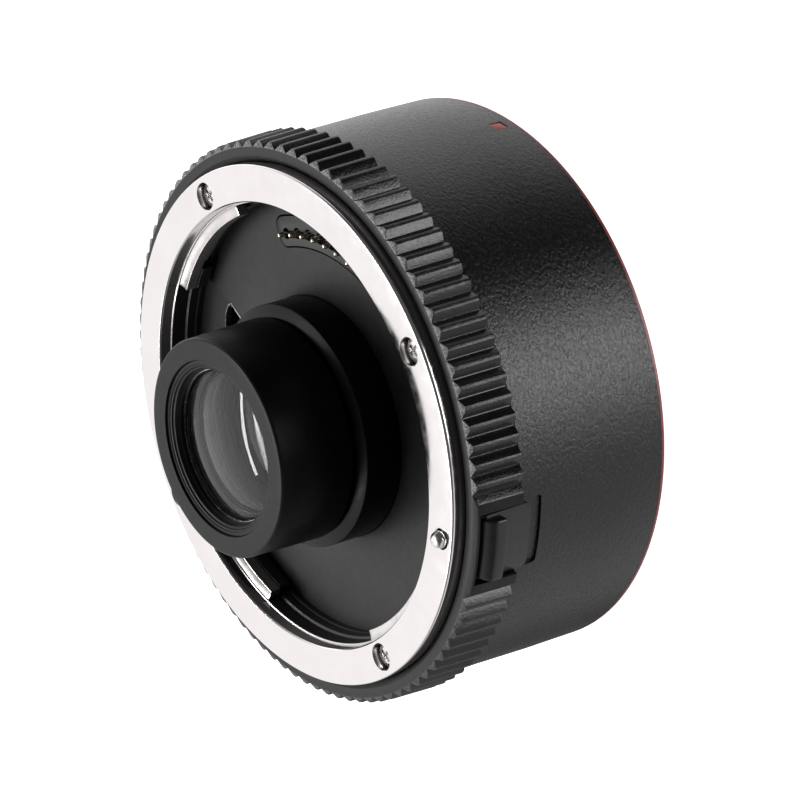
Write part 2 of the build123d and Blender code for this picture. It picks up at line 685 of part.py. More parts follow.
for name, (rim, front_z, front_sag, rear_z, rear_sag) in ELEMENTS.items():
    half = rim / 2
    front_vertex = (0, front_z)
    front_half = (half, front_z - drop(half, rim, front_sag))
    front_rim = (rim, front_z - front_sag)
    rear_vertex = (0, rear_z)
    rear_half = (half, rear_z + drop(half, rim, rear_sag))
    rear_rim = (rim, rear_z + rear_sag)
    with BuildPart() as element:
        with BuildSketch(Plane.XZ):
            with BuildLine():
                ThreePointArc(rear_vertex, rear_half, rear_rim)
                Line(rear_rim, front_rim)
                ThreePointArc(front_rim, front_half, front_vertex)
                Line(front_vertex, rear_vertex)
            make_face()
        revolve(axis=Axis.Z)
    save(element, name)

# Spacers and the light stop, each close to the bore that holds it
TUBE_PART_RADIUS = TUBE_BORE - FIT_GAP

with BuildPart() as front_spacer:
    revolve(
        half_section(
            (8.5, 34.0),
            (TUBE_PART_RADIUS, 34.0),
            (TUBE_PART_RADIUS, 36.8),
            (9.0, 36.8),
            (8.5, 36.2),
        ),
        axis=Axis.Z,
    )
save(front_spacer, "front_spacer")

with BuildPart() as light_stop:
    revolve(
        half_section(
            (6.8, 28.6),
            (TUBE_PART_RADIUS, 28.6),
            (TUBE_PART_RADIUS, 30.85),
            (9.65, 30.85),
            (9.3, 29.0),
            (7.0, 29.0),
        ),
        axis=Axis.Z,
    )
save(light_stop, "light_stop")

with BuildPart() as middle_spacer:
    revolve(
        half_section(
            (8.7, 27.65),
            (TUBE_PART_RADIUS, 27.65),
            (TUBE_PART_RADIUS, 28.55),
            (8.7, 28.55),
        ),
        axis=Axis.Z,
    )
save(middle_spacer, "middle_spacer")

# Rear lens cell: the long black tube in the chassis hub that holds the rear elements
CELL_REAR_Z = -2.0
CELL_TOP_Z = 21.9
CELL_BORE = 12.5
CELL_FLANGE_RADIUS = 18.0
CELL_FLANGE_Z = 10.8
CELL_FRONT_BORE = 11.5       # holds the rear doublet
CELL_MIDDLE_BORE = 12.1      # holds the rear field element

with BuildPart() as rear_lens_cell:
    revolve(
        half_section(
            (CELL_BORE, CELL_REAR_Z),
            (CELL_RADIUS - 0.3, CELL_REAR_Z),
            (CELL_RADIUS, CELL_REAR_Z + 0.3),
            (CELL_RADIUS, CELL_FLANGE_Z),
            (CELL_FLANGE_RADIUS, CELL_FLANGE_Z),
            (CELL_FLANGE_RADIUS, HUB_REAR_Z),
            (CELL_RADIUS, HUB_REAR_Z),
            (CELL_RADIUS, CELL_TOP_Z),
            (CELL_FRONT_BORE, CELL_TOP_Z),
            (CELL_FRONT_BORE, 14.4),
            (10.8, 14.4),
            (10.8, 13.2),
            (CELL_MIDDLE_BORE, 12.2),
            (CELL_MIDDLE_BORE, 5.6),
            (11.2, 5.6),
            (11.2, 4.4),
            (CELL_BORE, 3.4),
        ),
        axis=Axis.Z,
    )
save(rear_lens_cell, "rear_lens_cell")

with BuildPart() as rear_spacer:
    revolve(
        half_section(
            (10.9, 8.7),
            (CELL_MIDDLE_BORE - 0.1, 8.7),
            (CELL_MIDDLE_BORE - 0.1, 12.1),
            (11.2, 12.1),
            (10.9, 11.6),
        ),
        axis=Axis.Z,
    )
save(rear_spacer, "rear_spacer")

with BuildPart() as rear_retaining_ring:
    revolve(
        half_section(
            (10.6, CELL_REAR_Z + 0.2),
            (CELL_BORE - 0.03, CELL_REAR_Z + 0.2),
            (CELL_BORE - 0.03, 1.4),
            (11.9, 1.4),
            (10.6, 0.9),
        ),
        axis=Axis.Z,
    )
save(rear_retaining_ring, "rear_retaining_ring")

# Shim under the rear bayonet ring, which sets the distance between the two seats
SHIM_THICKNESS = 0.1

with BuildPart() as flange_shim:
    with BuildSketch(Plane.XY.offset(CHASSIS_REAR_Z - SHIM_THICKNESS)):
        Circle(CHASSIS_OUTER - 0.1)
        Circle(CHASSIS_INNER + 0.05, mode=Mode.SUBTRACT)
        with Locations(*[at(REAR_SCREW_CIRCLE, angle) for angle in REAR_SCREW_ANGLES]):
            Circle(SHANK_RADIUS + 0.2, mode=Mode.SUBTRACT)
    extrude(amount=SHIM_THICKNESS)
save(flange_shim, "flange_shim")

# Rear bayonet ring: the chrome seat for the camera, with a tube and four claws
REAR_RING_TOP_Z = CHASSIS_REAR_Z - SHIM_THICKNESS
REAR_LIP_RADIUS = 22.9
REAR_LIP_Z = 0.25
REAR_LIP_TOP_Z = 1.1
REAR_FLANGE_RADIUS = 31.4
REAR_TUBE_RADIUS = 25.6
REAR_BORE = 24.0
REAR_END_Z = -5.0
REAR_CLAW_TOP_Z = -3.55
REAR_CLAW_RADIUS = 26.9
REAR_CLAW_MARGIN = 2.0       # degrees that each end of a claw is shorter than a front claw
LOCK_SLOT_RADIUS = 1.25
LOCK_SLOT_DEPTH = 2.0
REAR_HEAD_RADIUS = 1.5
REAR_HEAD_SEAT_Z = 1.0
REAR_HEAD_GAP = 0.15

with BuildPart() as rear_bayonet_ring:
    revolve(
        half_section(
            (REAR_BORE, REAR_END_Z + 0.3),
            (REAR_BORE + 0.3, REAR_END_Z),
            (REAR_TUBE_RADIUS, REAR_END_Z),
            (REAR_TUBE_RADIUS, 0),
            (REAR_FLANGE_RADIUS - 0.2, 0),
            (REAR_FLANGE_RADIUS, 0.2),
            (REAR_FLANGE_RADIUS, REAR_RING_TOP_Z),
            (REAR_BORE + 1.2, REAR_RING_TOP_Z),
            (REAR_BORE + 1.2, REAR_LIP_TOP_Z),
            (REAR_LIP_RADIUS, REAR_LIP_TOP_Z),
            (REAR_LIP_RADIUS, REAR_LIP_Z),
            (REAR_BORE, REAR_LIP_Z),
        ),
        axis=Axis.Z,
    )
    lip_notch = sector(
        REAR_LIP_Z,
        REAR_LIP_RADIUS - 1,
        REAR_BORE,
        CONTACT_CENTRE - BLOCK_HALF_ANGLE - 0.6,
        CONTACT_CENTRE + BLOCK_HALF_ANGLE + 0.6,
    )
    extrude(lip_notch, amount=REAR_LIP_TOP_Z - REAR_LIP_Z, mode=Mode.SUBTRACT)
    for claw_start, claw_end in CLAW_SPANS:
        claw = half_section(
            (REAR_TUBE_RADIUS - 0.5, REAR_END_Z),
            (REAR_CLAW_RADIUS - 0.3, REAR_END_Z),
            (REAR_CLAW_RADIUS, REAR_END_Z + 0.3),
            (REAR_CLAW_RADIUS, REAR_CLAW_TOP_Z),
            (REAR_TUBE_RADIUS - 0.5, REAR_CLAW_TOP_Z),
        ).rotate(Axis.Z, claw_start + REAR_CLAW_MARGIN)
        claw_arc = claw_end - claw_start - 2 * REAR_CLAW_MARGIN
        revolve(claw, axis=Axis.Z, revolution_arc=claw_arc)
    for angle in REAR_SCREW_ANGLES:
        with BuildSketch(Plane.XY):
            with Locations(at(REAR_SCREW_CIRCLE, angle)):
                Circle(REAR_HEAD_RADIUS + REAR_HEAD_GAP)
        extrude(amount=REAR_HEAD_SEAT_Z, mode=Mode.SUBTRACT)
        with BuildSketch(Plane.XY):
            with Locations(at(REAR_SCREW_CIRCLE, angle)):
                Circle(SHANK_RADIUS + FIT_GAP)
        extrude(amount=REAR_RING_TOP_Z, mode=Mode.SUBTRACT)
    with BuildSketch(Plane.XY):
        with Locations(at(LOCK_RADIUS, LOCK_ANGLE)):
            Circle(LOCK_SLOT_RADIUS)
    extrude(amount=LOCK_SLOT_DEPTH, mode=Mode.SUBTRACT)
save(rear_bayonet_ring, "rear_bayonet_ring")

# Rear mount screws: four pan heads sunk in the rear flange
REAR_SCREW_LENGTH = 8.0
REAR_HEAD_DEPTH = 0.85

with BuildPart() as rear_mount_screws:
    for angle in REAR_SCREW_ANGLES:
        with BuildSketch(Plane.XY.offset(REAR_HEAD_SEAT_Z)):
            with Locations(at(REAR_SCREW_CIRCLE, angle)):
                Circle(REAR_HEAD_RADIUS)
        extrude(amount=-REAR_HEAD_DEPTH)
        with BuildSketch(Plane.XY.offset(REAR_HEAD_SEAT_Z)):
            with Locations(at(REAR_SCREW_CIRCLE, angle)):
                Circle(SHANK_RADIUS)
        extrude(amount=REAR_SCREW_LENGTH)
        with BuildSketch(Plane.XY.offset(REAR_HEAD_SEAT_Z - REAR_HEAD_DEPTH)):
            with Locations(at(REAR_SCREW_CIRCLE, angle)):
                Rectangle(RECESS_LENGTH, RECESS_WIDTH)
                Rectangle(RECESS_WIDTH, RECESS_LENGTH)
        extrude(amount=RECESS_DEPTH, mode=Mode.SUBTRACT)
save(rear_mount_screws, "rear_mount_screws")

# Rear light baffle: the black plate round the rear cell, notched for the contact block
REAR_BAFFLE_REAR_Z = -0.6
REAR_BAFFLE_TOP_Z = 0.2
REAR_BAFFLE_NOTCH_RADIUS = 20.6
REAR_BAFFLE_NOTCH_MARGIN = 0.1

with BuildPart() as rear_light_baffle:
    revolve(
        half_section(
            (CELL_RADIUS + FIT_GAP, REAR_BAFFLE_REAR_Z),
            (REAR_BORE - FIT_GAP, REAR_BAFFLE_REAR_Z),
            (REAR_BORE - FIT_GAP, REAR_BAFFLE_TOP_Z),
            (CELL_RADIUS + FIT_GAP, REAR_BAFFLE_TOP_Z),
        ),
        axis=Axis.Z,
    )
    notch = sector(
        REAR_BAFFLE_REAR_Z,
        REAR_BAFFLE_NOTCH_RADIUS,
        REAR_BORE + 1,
        CONTACT_CENTRE - BLOCK_HALF_ANGLE - REAR_BAFFLE_NOTCH_MARGIN,
        CONTACT_CENTRE + BLOCK_HALF_ANGLE + REAR_BAFFLE_NOTCH_MARGIN,
    )
    extrude(notch, amount=REAR_BAFFLE_TOP_Z - REAR_BAFFLE_REAR_Z, mode=Mode.SUBTRACT)
save(rear_light_baffle, "rear_light_baffle")

# Rear contact block and its eleven gold pads
REAR_BLOCK_INNER = 20.8
REAR_BLOCK_OUTER = 23.8
REAR_BLOCK_END_Z = -4.6
REAR_BLOCK_TOP_Z = 2.0
REAR_BLOCK_FLANGE = 25.1
PAD_LENGTH = 2.0
PAD_WIDTH = 1.3
PAD_PROUD = 0.12
PAD_SEAT = 0.3
PAD_GAP = 0.03
PAD_CIRCLE = (REAR_BLOCK_INNER + REAR_BLOCK_OUTER) / 2
REAR_BLOCK_CORNER = 0.8
REAR_FLANGE_HALF_ANGLE = 30

with BuildPart() as rear_contact_block:
    extrude(
        sector(
            REAR_BLOCK_END_Z,
            REAR_BLOCK_INNER,
            REAR_BLOCK_OUTER,
            CONTACT_CENTRE - BLOCK_HALF_ANGLE,
            CONTACT_CENTRE + BLOCK_HALF_ANGLE,
        ),
        amount=REAR_BLOCK_TOP_Z - REAR_BLOCK_END_Z,
    )
    fillet(rear_contact_block.edges().filter_by(Axis.Z), REAR_BLOCK_CORNER)
    flange = sector(
        REAR_LIP_TOP_Z + FIT_GAP,
        REAR_BLOCK_INNER + 1,
        REAR_BLOCK_FLANGE,
        CONTACT_CENTRE - REAR_FLANGE_HALF_ANGLE,
        CONTACT_CENTRE + REAR_FLANGE_HALF_ANGLE,
    )
    extrude(flange, amount=REAR_BLOCK_TOP_Z - REAR_LIP_TOP_Z - FIT_GAP)
    for angle in contact_angles():
        seat = spoke_block(
            angle,
            REAR_BLOCK_END_Z,
            PAD_CIRCLE - PAD_LENGTH / 2 - PAD_GAP,
            PAD_CIRCLE + PAD_LENGTH / 2 + PAD_GAP,
            PAD_WIDTH + 2 * PAD_GAP,
        )
        extrude(seat, amount=PAD_SEAT, mode=Mode.SUBTRACT)
save(rear_contact_block, "rear_contact_block")

with BuildPart() as rear_contact_pads:
    for angle in contact_angles():
        pad = spoke_block(
            angle,
            REAR_BLOCK_END_Z - PAD_PROUD,
            PAD_CIRCLE - PAD_LENGTH / 2,
            PAD_CIRCLE + PAD_LENGTH / 2,
            PAD_WIDTH,
        )
        extrude(pad, amount=PAD_SEAT + PAD_PROUD)
save(rear_contact_pads, "rear_contact_pads")

# Main circuit board: a ring under the chassis web, with its parts on the rear face
BOARD_REAR_Z = 15.8
BOARD_INNER = 16.2
BOARD_OUTER = 27.2
BOARD_START = -130           # ends of the board, round the axis
BOARD_END = 170
BOARD_HOLE_RADIUS = 0.8

with BuildPart() as main_circuit_board:
    board = sector(BOARD_REAR_Z, BOARD_INNER, BOARD_OUTER, BOARD_START, BOARD_END)
    extrude(board, amount=BOARD_TOP_Z - BOARD_REAR_Z)
    for angle in POST_ANGLES:
        with BuildSketch(Plane.XY.offset(BOARD_REAR_Z)):
            with Locations(at(POST_CIRCLE, angle)):
                Circle(BOARD_HOLE_RADIUS)
        extrude(amount=BOARD_TOP_Z - BOARD_REAR_Z, mode=Mode.SUBTRACT)
save(main_circuit_board, "main_circuit_board")

# Each chip has an angle round the axis, a length, a width and a thickness
CHIPS = [(40, 4.4, 4.4, 1.0), (-45, 5.0, 5.0, 1.1), (-20, 2.2, 1.4, 0.7), (125, 3.0, 3.0, 0.9)]
CHIP_CIRCLE = 21.4

with BuildPart() as board_chips:
    for angle, length, width, thickness in CHIPS:
        inner = CHIP_CIRCLE - length / 2
        chip = spoke_block(angle, BOARD_REAR_Z, inner, inner + length, width)
        extrude(chip, amount=-thickness)
save(board_chips, "board_chips")

# Board screws: three, from the rear into the chassis posts
BOARD_HEAD_RADIUS = 1.1
BOARD_HEAD_HEIGHT = 0.6
BOARD_SCREW_LENGTH = 3.0
BOARD_RECESS = 1.3
BOARD_RECESS_WIDTH = 0.3

with BuildPart() as board_screws:
    for angle in POST_ANGLES:
        with BuildSketch(Plane.XY.offset(BOARD_REAR_Z)):
            with Locations(at(POST_CIRCLE, angle)):
                Circle(BOARD_HEAD_RADIUS)
        extrude(amount=-BOARD_HEAD_HEIGHT)
        with BuildSketch(Plane.XY.offset(BOARD_REAR_Z)):
            with Locations(at(POST_CIRCLE, angle)):
                Circle(BOARD_SCREW_RADIUS)
        extrude(amount=BOARD_SCREW_LENGTH)
        with BuildSketch(Plane.XY.offset(BOARD_REAR_Z - BOARD_HEAD_HEIGHT)):
            with Locations(at(POST_CIRCLE, angle)):
                Rectangle(BOARD_RECESS, BOARD_RECESS_WIDTH)
                Rectangle(BOARD_RECESS_WIDTH, BOARD_RECESS)
        extrude(amount=BOARD_HEAD_HEIGHT / 2, mode=Mode.SUBTRACT)
save(board_screws, "board_screws")

# Flex strips from each contact block to the board, each a level pad with a tail along the axis
FLEX_THICKNESS = 0.15
FRONT_FLEX_OUTER = 26.0
REAR_FLEX_OUTER = 23.6
TAIL_START = 74
TAIL_END = 88

with BuildPart() as front_contact_flex:
    pad = sector(SLEEVE_REAR_Z - FLEX_THICKNESS, 21.4, FRONT_FLEX_OUTER, 50, 111)
    extrude(pad, amount=FLEX_THICKNESS)
    tail_inner = FRONT_FLEX_OUTER - FLEX_THICKNESS
    tail = sector(BOARD_TOP_Z, tail_inner, FRONT_FLEX_OUTER, TAIL_START, TAIL_END)
    extrude(tail, amount=SLEEVE_REAR_Z - BOARD_TOP_Z)
save(front_contact_flex, "front_contact_flex")

with BuildPart() as rear_contact_flex:
    pad = sector(REAR_BLOCK_TOP_Z, 21.0, REAR_FLEX_OUTER, 60, 101)
    extrude(pad, amount=FLEX_THICKNESS)
    tail_inner = REAR_FLEX_OUTER - FLEX_THICKNESS
    tail = sector(REAR_BLOCK_TOP_Z, tail_inner, REAR_FLEX_OUTER, TAIL_START, TAIL_END)
    extrude(tail, amount=BOARD_REAR_Z - REAR_BLOCK_TOP_Z)
save(rear_contact_flex, "rear_contact_flex")

# Release slider: the thumb piece in its pocket, with a stepped ridge at the front
PLATE_UNDER = POCKET_FLOOR_RADIUS + 0.15
PLATE_RADIUS = 34.2
PLATE_HALF_ANGLE = 7.05
PLATE_REAR_Z = 20.5
PLATE_FRONT_Z = 27.7
PLATE_CORNER = 0.8
RIDGE_HALF_ANGLE = 6.45
RIDGE_RADIUS = 35.6
RIDGE_REAR_Z = 24.9
RIDGE_FRONT_Z = 26.25
LIP_RADIUS = 34.9
LIP_Z = 26.5
FOOT_INNER = 31.65
FOOT_WIDTH = 5.0
FOOT_REAR_Z = 22.0
FOOT_TOP_Z = 25.0
FOOT_SCREW_OFFSET = 1.9
FOOT_SCREW_RADIUS = 0.35
FOOT_SCREW_Z = 23.5
FOOT_SCREW_END = 32.9
CARRIER_INNER = 28.6         # inner face of the carrier behind the foot


def slider_piece(section, half_angle):
    """Turn a section about the axis, as far as a half angle on each side of the slider's middle."""
    revolve(section.rotate(Axis.Z, LOCK_ANGLE - half_angle), axis=Axis.Z, revolution_arc=2 * half_angle)


def foot_screw_plane(side):
    """A plane facing outwards at the head of one screw of the slider's foot."""
    level = spoke_plane(LOCK_ANGLE)
    mouth = level.from_local_coords(Vector(CARRIER_INNER, side * FOOT_SCREW_OFFSET, FOOT_SCREW_Z))
    return Plane(origin=mouth, z_dir=at(1, LOCK_ANGLE))


with BuildPart() as release_slider:
    slider_piece(
        half_section(
            (PLATE_UNDER, PLATE_REAR_Z),
            (PLATE_RADIUS, PLATE_REAR_Z),
            (PLATE_RADIUS, PLATE_FRONT_Z - 0.8),
            (PLATE_RADIUS - 0.6, PLATE_FRONT_Z),
            (PLATE_UNDER, PLATE_FRONT_Z),
        ),
        PLATE_HALF_ANGLE,
    )
    fillet(release_slider.edges().filter_by(GeomType.LINE).group_by(Axis.Z)[0], PLATE_CORNER)
    slider_piece(
        half_section(
            (PLATE_UNDER, RIDGE_REAR_Z),
            (RIDGE_RADIUS - 0.1, RIDGE_REAR_Z),
            (RIDGE_RADIUS, RIDGE_REAR_Z + 0.1),
            (RIDGE_RADIUS, RIDGE_FRONT_Z - 0.1),
            (RIDGE_RADIUS - 0.1, RIDGE_FRONT_Z),
            (LIP_RADIUS, RIDGE_FRONT_Z),
            (LIP_RADIUS, LIP_Z),
            (PLATE_RADIUS, PLATE_FRONT_Z - 0.65),
            (PLATE_UNDER, PLATE_FRONT_Z - 0.5),
        ),
        RIDGE_HALF_ANGLE,
    )
    foot = spoke_block(LOCK_ANGLE, FOOT_REAR_Z, FOOT_INNER, PLATE_UNDER + 0.3, FOOT_WIDTH)
    extrude(foot, amount=FOOT_TOP_Z - FOOT_REAR_Z)
    for side in (-1, 1):
        with BuildSketch(foot_screw_plane(side)):
            Circle(FOOT_SCREW_RADIUS)
        extrude(amount=FOOT_SCREW_END + 0.1 - CARRIER_INNER, mode=Mode.SUBTRACT)
save(release_slider, "release_slider")

# Slider carrier: the block inside the chassis slot that joins the slider and the lock pin
CARRIER_TOP_Z = 24.9
CARRIER_GAP = 0.02           # between the faces of the carrier and the slider's foot
FOOT_SCREW_HEAD = 0.65
FOOT_HEAD_DEPTH = 0.4
FOOT_SLOT_WIDTH = 0.2
LOCK_PIN_SEAT_Z = FOOT_REAR_Z + 0.6

with BuildPart() as slider_carrier:
    carrier = spoke_block(LOCK_ANGLE, FOOT_REAR_Z, CARRIER_INNER, FOOT_INNER - CARRIER_GAP, FOOT_WIDTH)
    extrude(carrier, amount=CARRIER_TOP_Z - FOOT_REAR_Z)
    with BuildSketch(spoke_plane(LOCK_ANGLE, CARRIER_TOP_Z)):
        with Locations((LOCK_RADIUS, 0)):
            Circle(LOCK_PIN_RADIUS)
    extrude(amount=LOCK_PIN_SEAT_Z - CARRIER_TOP_Z, mode=Mode.SUBTRACT)
    for side in (-1, 1):
        with BuildSketch(foot_screw_plane(side)):
            Circle(FOOT_SCREW_RADIUS)
        extrude(amount=FOOT_INNER - CARRIER_INNER, mode=Mode.SUBTRACT)
        with BuildSketch(foot_screw_plane(side)):
            Circle(FOOT_SCREW_HEAD)
        extrude(amount=FOOT_HEAD_DEPTH, mode=Mode.SUBTRACT)
save(slider_carrier, "slider_carrier")

# Slider screws: two, from inside the carrier into the slider's foot
with BuildPart() as slider_screws:
    for side in (-1, 1):
        with BuildSketch(foot_screw_plane(side)):
            Circle(FOOT_SCREW_HEAD)
        extrude(amount=FOOT_HEAD_DEPTH)
        with BuildSketch(foot_screw_plane(side)):
            Circle(FOOT_SCREW_RADIUS)
        extrude(amount=FOOT_SCREW_END - CARRIER_INNER)
        with BuildSketch(foot_screw_plane(side)):
            Rectangle(FOOT_SCREW_HEAD * 1.6, FOOT_SLOT_WIDTH)
        extrude(amount=FOOT_HEAD_DEPTH / 2, mode=Mode.SUBTRACT)
save(slider_screws, "slider_screws")

# Lock pin: rises through the chrome ring into the lens's own slot
LOCK_PIN_TIP_Z = 31.2

with BuildPart() as lock_pin:
    with BuildSketch(Plane.XY.offset(LOCK_PIN_SEAT_Z)):
        with Locations(at(LOCK_RADIUS, LOCK_ANGLE)):
            Circle(LOCK_PIN_RADIUS)
    extrude(amount=LOCK_PIN_TIP_Z - LOCK_PIN_SEAT_Z)
    fillet(lock_pin.edges().sort_by(Axis.Z)[-1], LOCK_PIN_RADIUS * 0.7)
save(lock_pin, "lock_pin")

# Lock spring: pushes the carrier and the pin towards the lens
LOCK_SPRING_RADIUS = 0.95
LOCK_SPRING_WIRE = 0.15
LOCK_SPRING_TURNS = 5

with BuildPart() as lock_spring:
    coil = coil_path(
        at(LOCK_RADIUS, LOCK_ANGLE),
        LOCK_SPRING_RADIUS,
        SPRING_SEAT_Z + LOCK_SPRING_WIRE + SPRING_END_GAP,
        FOOT_REAR_Z - LOCK_SPRING_WIRE - SPRING_END_GAP,
        LOCK_SPRING_TURNS,
    )
    with BuildSketch(Plane(origin=coil @ 0, z_dir=coil % 0)) as wire:
        Circle(LOCK_SPRING_WIRE)
    sweep(wire.sketch, path=coil)
save(lock_spring, "lock_spring")
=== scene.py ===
from math import asin, atan, cos, pi, radians, sin, sqrt, tan

import bmesh
import bpy
from mathutils import Matrix, Vector

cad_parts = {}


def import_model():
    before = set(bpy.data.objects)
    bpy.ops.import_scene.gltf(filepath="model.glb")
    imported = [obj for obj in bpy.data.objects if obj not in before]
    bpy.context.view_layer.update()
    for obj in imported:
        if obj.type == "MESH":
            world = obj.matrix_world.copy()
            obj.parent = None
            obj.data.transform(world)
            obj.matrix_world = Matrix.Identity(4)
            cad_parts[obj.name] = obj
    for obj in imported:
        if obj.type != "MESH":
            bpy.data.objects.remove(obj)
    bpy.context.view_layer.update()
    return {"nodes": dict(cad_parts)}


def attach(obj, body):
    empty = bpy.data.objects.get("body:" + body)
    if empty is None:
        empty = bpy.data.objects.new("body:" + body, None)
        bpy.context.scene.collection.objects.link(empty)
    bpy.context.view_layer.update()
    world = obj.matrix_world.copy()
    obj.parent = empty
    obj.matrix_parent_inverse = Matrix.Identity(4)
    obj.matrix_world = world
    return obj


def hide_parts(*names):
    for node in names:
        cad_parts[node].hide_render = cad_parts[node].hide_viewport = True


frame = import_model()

nodes = frame["nodes"]
scene = bpy.context.scene
scene.view_settings.view_transform = "Standard"

MM = 0.001
FULL_TURN = 360.0
DEGREES = 57.3  # in a radian
SHARP = 32  # degrees from which an edge stays sharp
WIDE_STEPS = 540  # round the widest pieces
TINY = 1e-4  # millimetres
NOISE_LOW, NOISE_HIGH = 0.3, 0.7  # the range in which most of a noise lies
TEXTURE_RADIUS = 0.03  # metres, where a texture that goes round the axis has its true size

# Places and sizes, in millimetres and degrees

SEAT_Z = 30.0
SCREW_FLOOR_Z = 28.6
SCREW_CIRCLE = 29.5
SCREW_ANGLES = [124.2, 36.5, -51.5, -144.0]
CROSS_TURN = 20.0
CLAW_SPANS = [(118.3, 158.4), (214.7, 254.7), (301, 341), (28, 66)]
STOP_SPANS = [(151, 158.2), (235, 254)]

LOCK_RADIUS = 29.9
LOCK_ANGLE = -6.6
POCKET_HALF_ANGLE = 7.7
POCKET_REAR_Z = 18.7
SLIDER_REAR_Z = 20.5

GROOVE_PITCH = FULL_TURN / 94
GROOVE_FIRST = 4.9
GROOVE_COUNT = 89
GROOVE_DEPTH = 0.8
GROOVE_SLOPE = 1.16
GRIP_REAR_Z, GRIP_FRONT_Z = 21.95, 28.62
GRIP_CHAMFER = 0.29
CHAMFER_Z = GRIP_FRONT_Z - GRIP_CHAMFER
GRIP_REAR_RADIUS, GRIP_FRONT_RADIUS, GRIP_FACE_RADIUS = 34.8, 34.5, 33.75
GRIP_SHARP = 25
LAND_STEPS = 24

BARREL_BORE = 31.45
TRIM_REAR_Z, TRIM_FRONT_Z = 0.4, 0.85
INDEX_ANGLE = 81.0
INDEX_Z = 2.7

CONTACT_CENTRE = 80.6
CONTACT_PITCH = 5.84
CONTACT_RADIUS = 22.45
CONTACT_COUNT = 11
BLOCK_INNER, BLOCK_OUTER = 20.88, 24.55
BLOCK_HALF_ANGLE = 33.4
BLOCK_TOP_Z = 24.5
TROUGH_Z = 23.6
BAFFLE_BACK_Z, BAFFLE_FRONT_Z = 23.6, 24.4

# Each glass: the rim's radius, then the height and the bulge of its front and of its rear
ELEMENTS = {
    "front_lens_element": (9.85, 39.95, 1.55, 37.9, -1.5),
    "front_doublet_flint": (9.6, 34.6, 1.35, 32.9, -1.5),
    "front_doublet_crown": (9.6, 32.87, 1.5, 30.0, 0.9),
    "middle_lens_element": (9.6, 26.6, -0.9, 25.2, -1.1),
    "rear_doublet_crown": (11.4, 19.2, 1.6, 15.6, 1.4),
    "rear_doublet_flint": (11.4, 15.57, -1.4, 14.0, 0.5),
    "rear_field_element": (12.0, 7.6, -1.0, 6.0, 0.6),
    "rear_lens_element": (12.4, 3.6, 1.1, 1.2, 0.3),
}

FLOOR_HALF = 20000.0
FLOOR_Z = -5.0
FLOOR_CELLS = 12

# Soft areas of light seen from the object: azimuth, elevation, full out to, none past (degrees), strength
LIT_AREAS = [
    (208, 36, 30, 80, 0.92),
    (22, -34, 8, 23, 6.2),
    (-42, -34, 36, 60, 0.62),
    (150, -30, 22, 50, 0.95),
]
DIM = 0.08
LAMP_DISTANCE = 420
LAMP_TARGET = Vector((0, 0, SEAT_Z))

# The camera in metres, with its first and third axes before they are squared up
CAMERA_PLACE = (0.3295, 0.1760, 0.2629)
CAMERA_RIGHT = (0.6038, 0.0, -0.7971)
CAMERA_BACK = (0.7329, 0.3931, 0.5552)
FOCAL_LENGTH, SENSOR_WIDTH = 166.5, 36.0


# Outlines

def at(radius, angle):
    """A flat point at a radius and an angle round the axis."""
    return (radius * cos(radians(angle)), radius * sin(radians(angle)))


def quarter(steps):
    """The angles of a quarter turn in steps."""
    return [radians(90 * step / steps) for step in range(steps + 1)]


def box_outline(inner, outer, low, high):
    """A rectangle between two radii and two heights."""
    return [(inner, low), (outer, low), (outer, high), (inner, high)]


def spoke_box(angle, inner, outer, width):
    """The flat outline of a block along a spoke."""
    along = Vector(at(1, angle))
    across = Vector((-along.y, along.x))
    corners = ((inner, -1), (outer, -1), (outer, 1), (inner, 1))
    return [tuple(along * r + across * (side * width / 2)) for r, side in corners]


def rounded(outline, steps=3):
    """An outline with rounded corners; a corner is (a, b), which stays sharp, or (a, b, radius)."""
    edge_share, straight = 0.49, radians(178)
    result = []
    for index, corner in enumerate(outline):
        here = Vector(corner[:2])
        if len(corner) == 2:
            result.append(tuple(here))
            continue
        before = Vector(outline[index - 1][:2]) - here
        after = Vector(outline[(index + 1) % len(outline)][:2]) - here
        turn = before.angle(after)
        reach = min(corner[2] / tan(turn / 2), edge_share * before.length, edge_share * after.length)
        radius = reach * tan(turn / 2)
        if radius < TINY or turn > straight:
            result.append(tuple(here))
            continue
        middle = (before.normalized() + after.normalized()).normalized()
        centre = here + middle * (radius / sin(turn / 2))
        start = here + before.normalized() * reach - centre
        end = here + after.normalized() * reach - centre
        arc = start.angle(end)
        for step in range(steps + 1):
            share = step / steps
            spoke = (start * sin((1 - share) * arc) + end * sin(share * arc)) / sin(arc)
            result.append(tuple(centre + spoke))
    return result


def arc_outline(inner, outer, start, end, corner, steps=40, corner_steps=5):
    """A flat sector between two radii and two angles, with rounded corners."""
    result = []
    sides = ((outer, inner, start, end, 1), (inner, outer, end, start, -1))
    for radius, other, first, last, way in sides:
        reach = way * corner / radius * DEGREES
        other_reach = way * corner / other * DEGREES
        run = last - first - 2 * reach
        result += [at(radius, first + reach + run * step / steps) for step in range(steps + 1)]
        # From this arc to the straight end, and from there to the other arc
        for turn in quarter(corner_steps)[1:]:
            depth = way * corner * (1 - cos(turn))
            result.append(at(radius - depth, last - reach * (1 - sin(turn))))
        for turn in quarter(corner_steps)[:-1]:
            depth = way * corner * (1 - sin(turn))
            result.append(at(other + depth, last - other_reach * (1 - cos(turn))))
    return result


def anticlockwise(outline):
    """The same outline, turned round if it runs clockwise."""
    outline = list(outline)
    pairs = zip(outline, outline[1:] + outline[:1])
    area = sum(a[0] * b[1] - b[0] * a[1] for a, b in pairs)
    return outline[::-1] if area < 0 else outline


# Meshes

def shade(mesh, sharp=SHARP):
    """Smooth shading, with the edges over an angle left sharp."""
    for polygon in mesh.polygons:
        polygon.use_smooth = True
    mesh.set_sharp_from_angle(angle=radians(sharp))


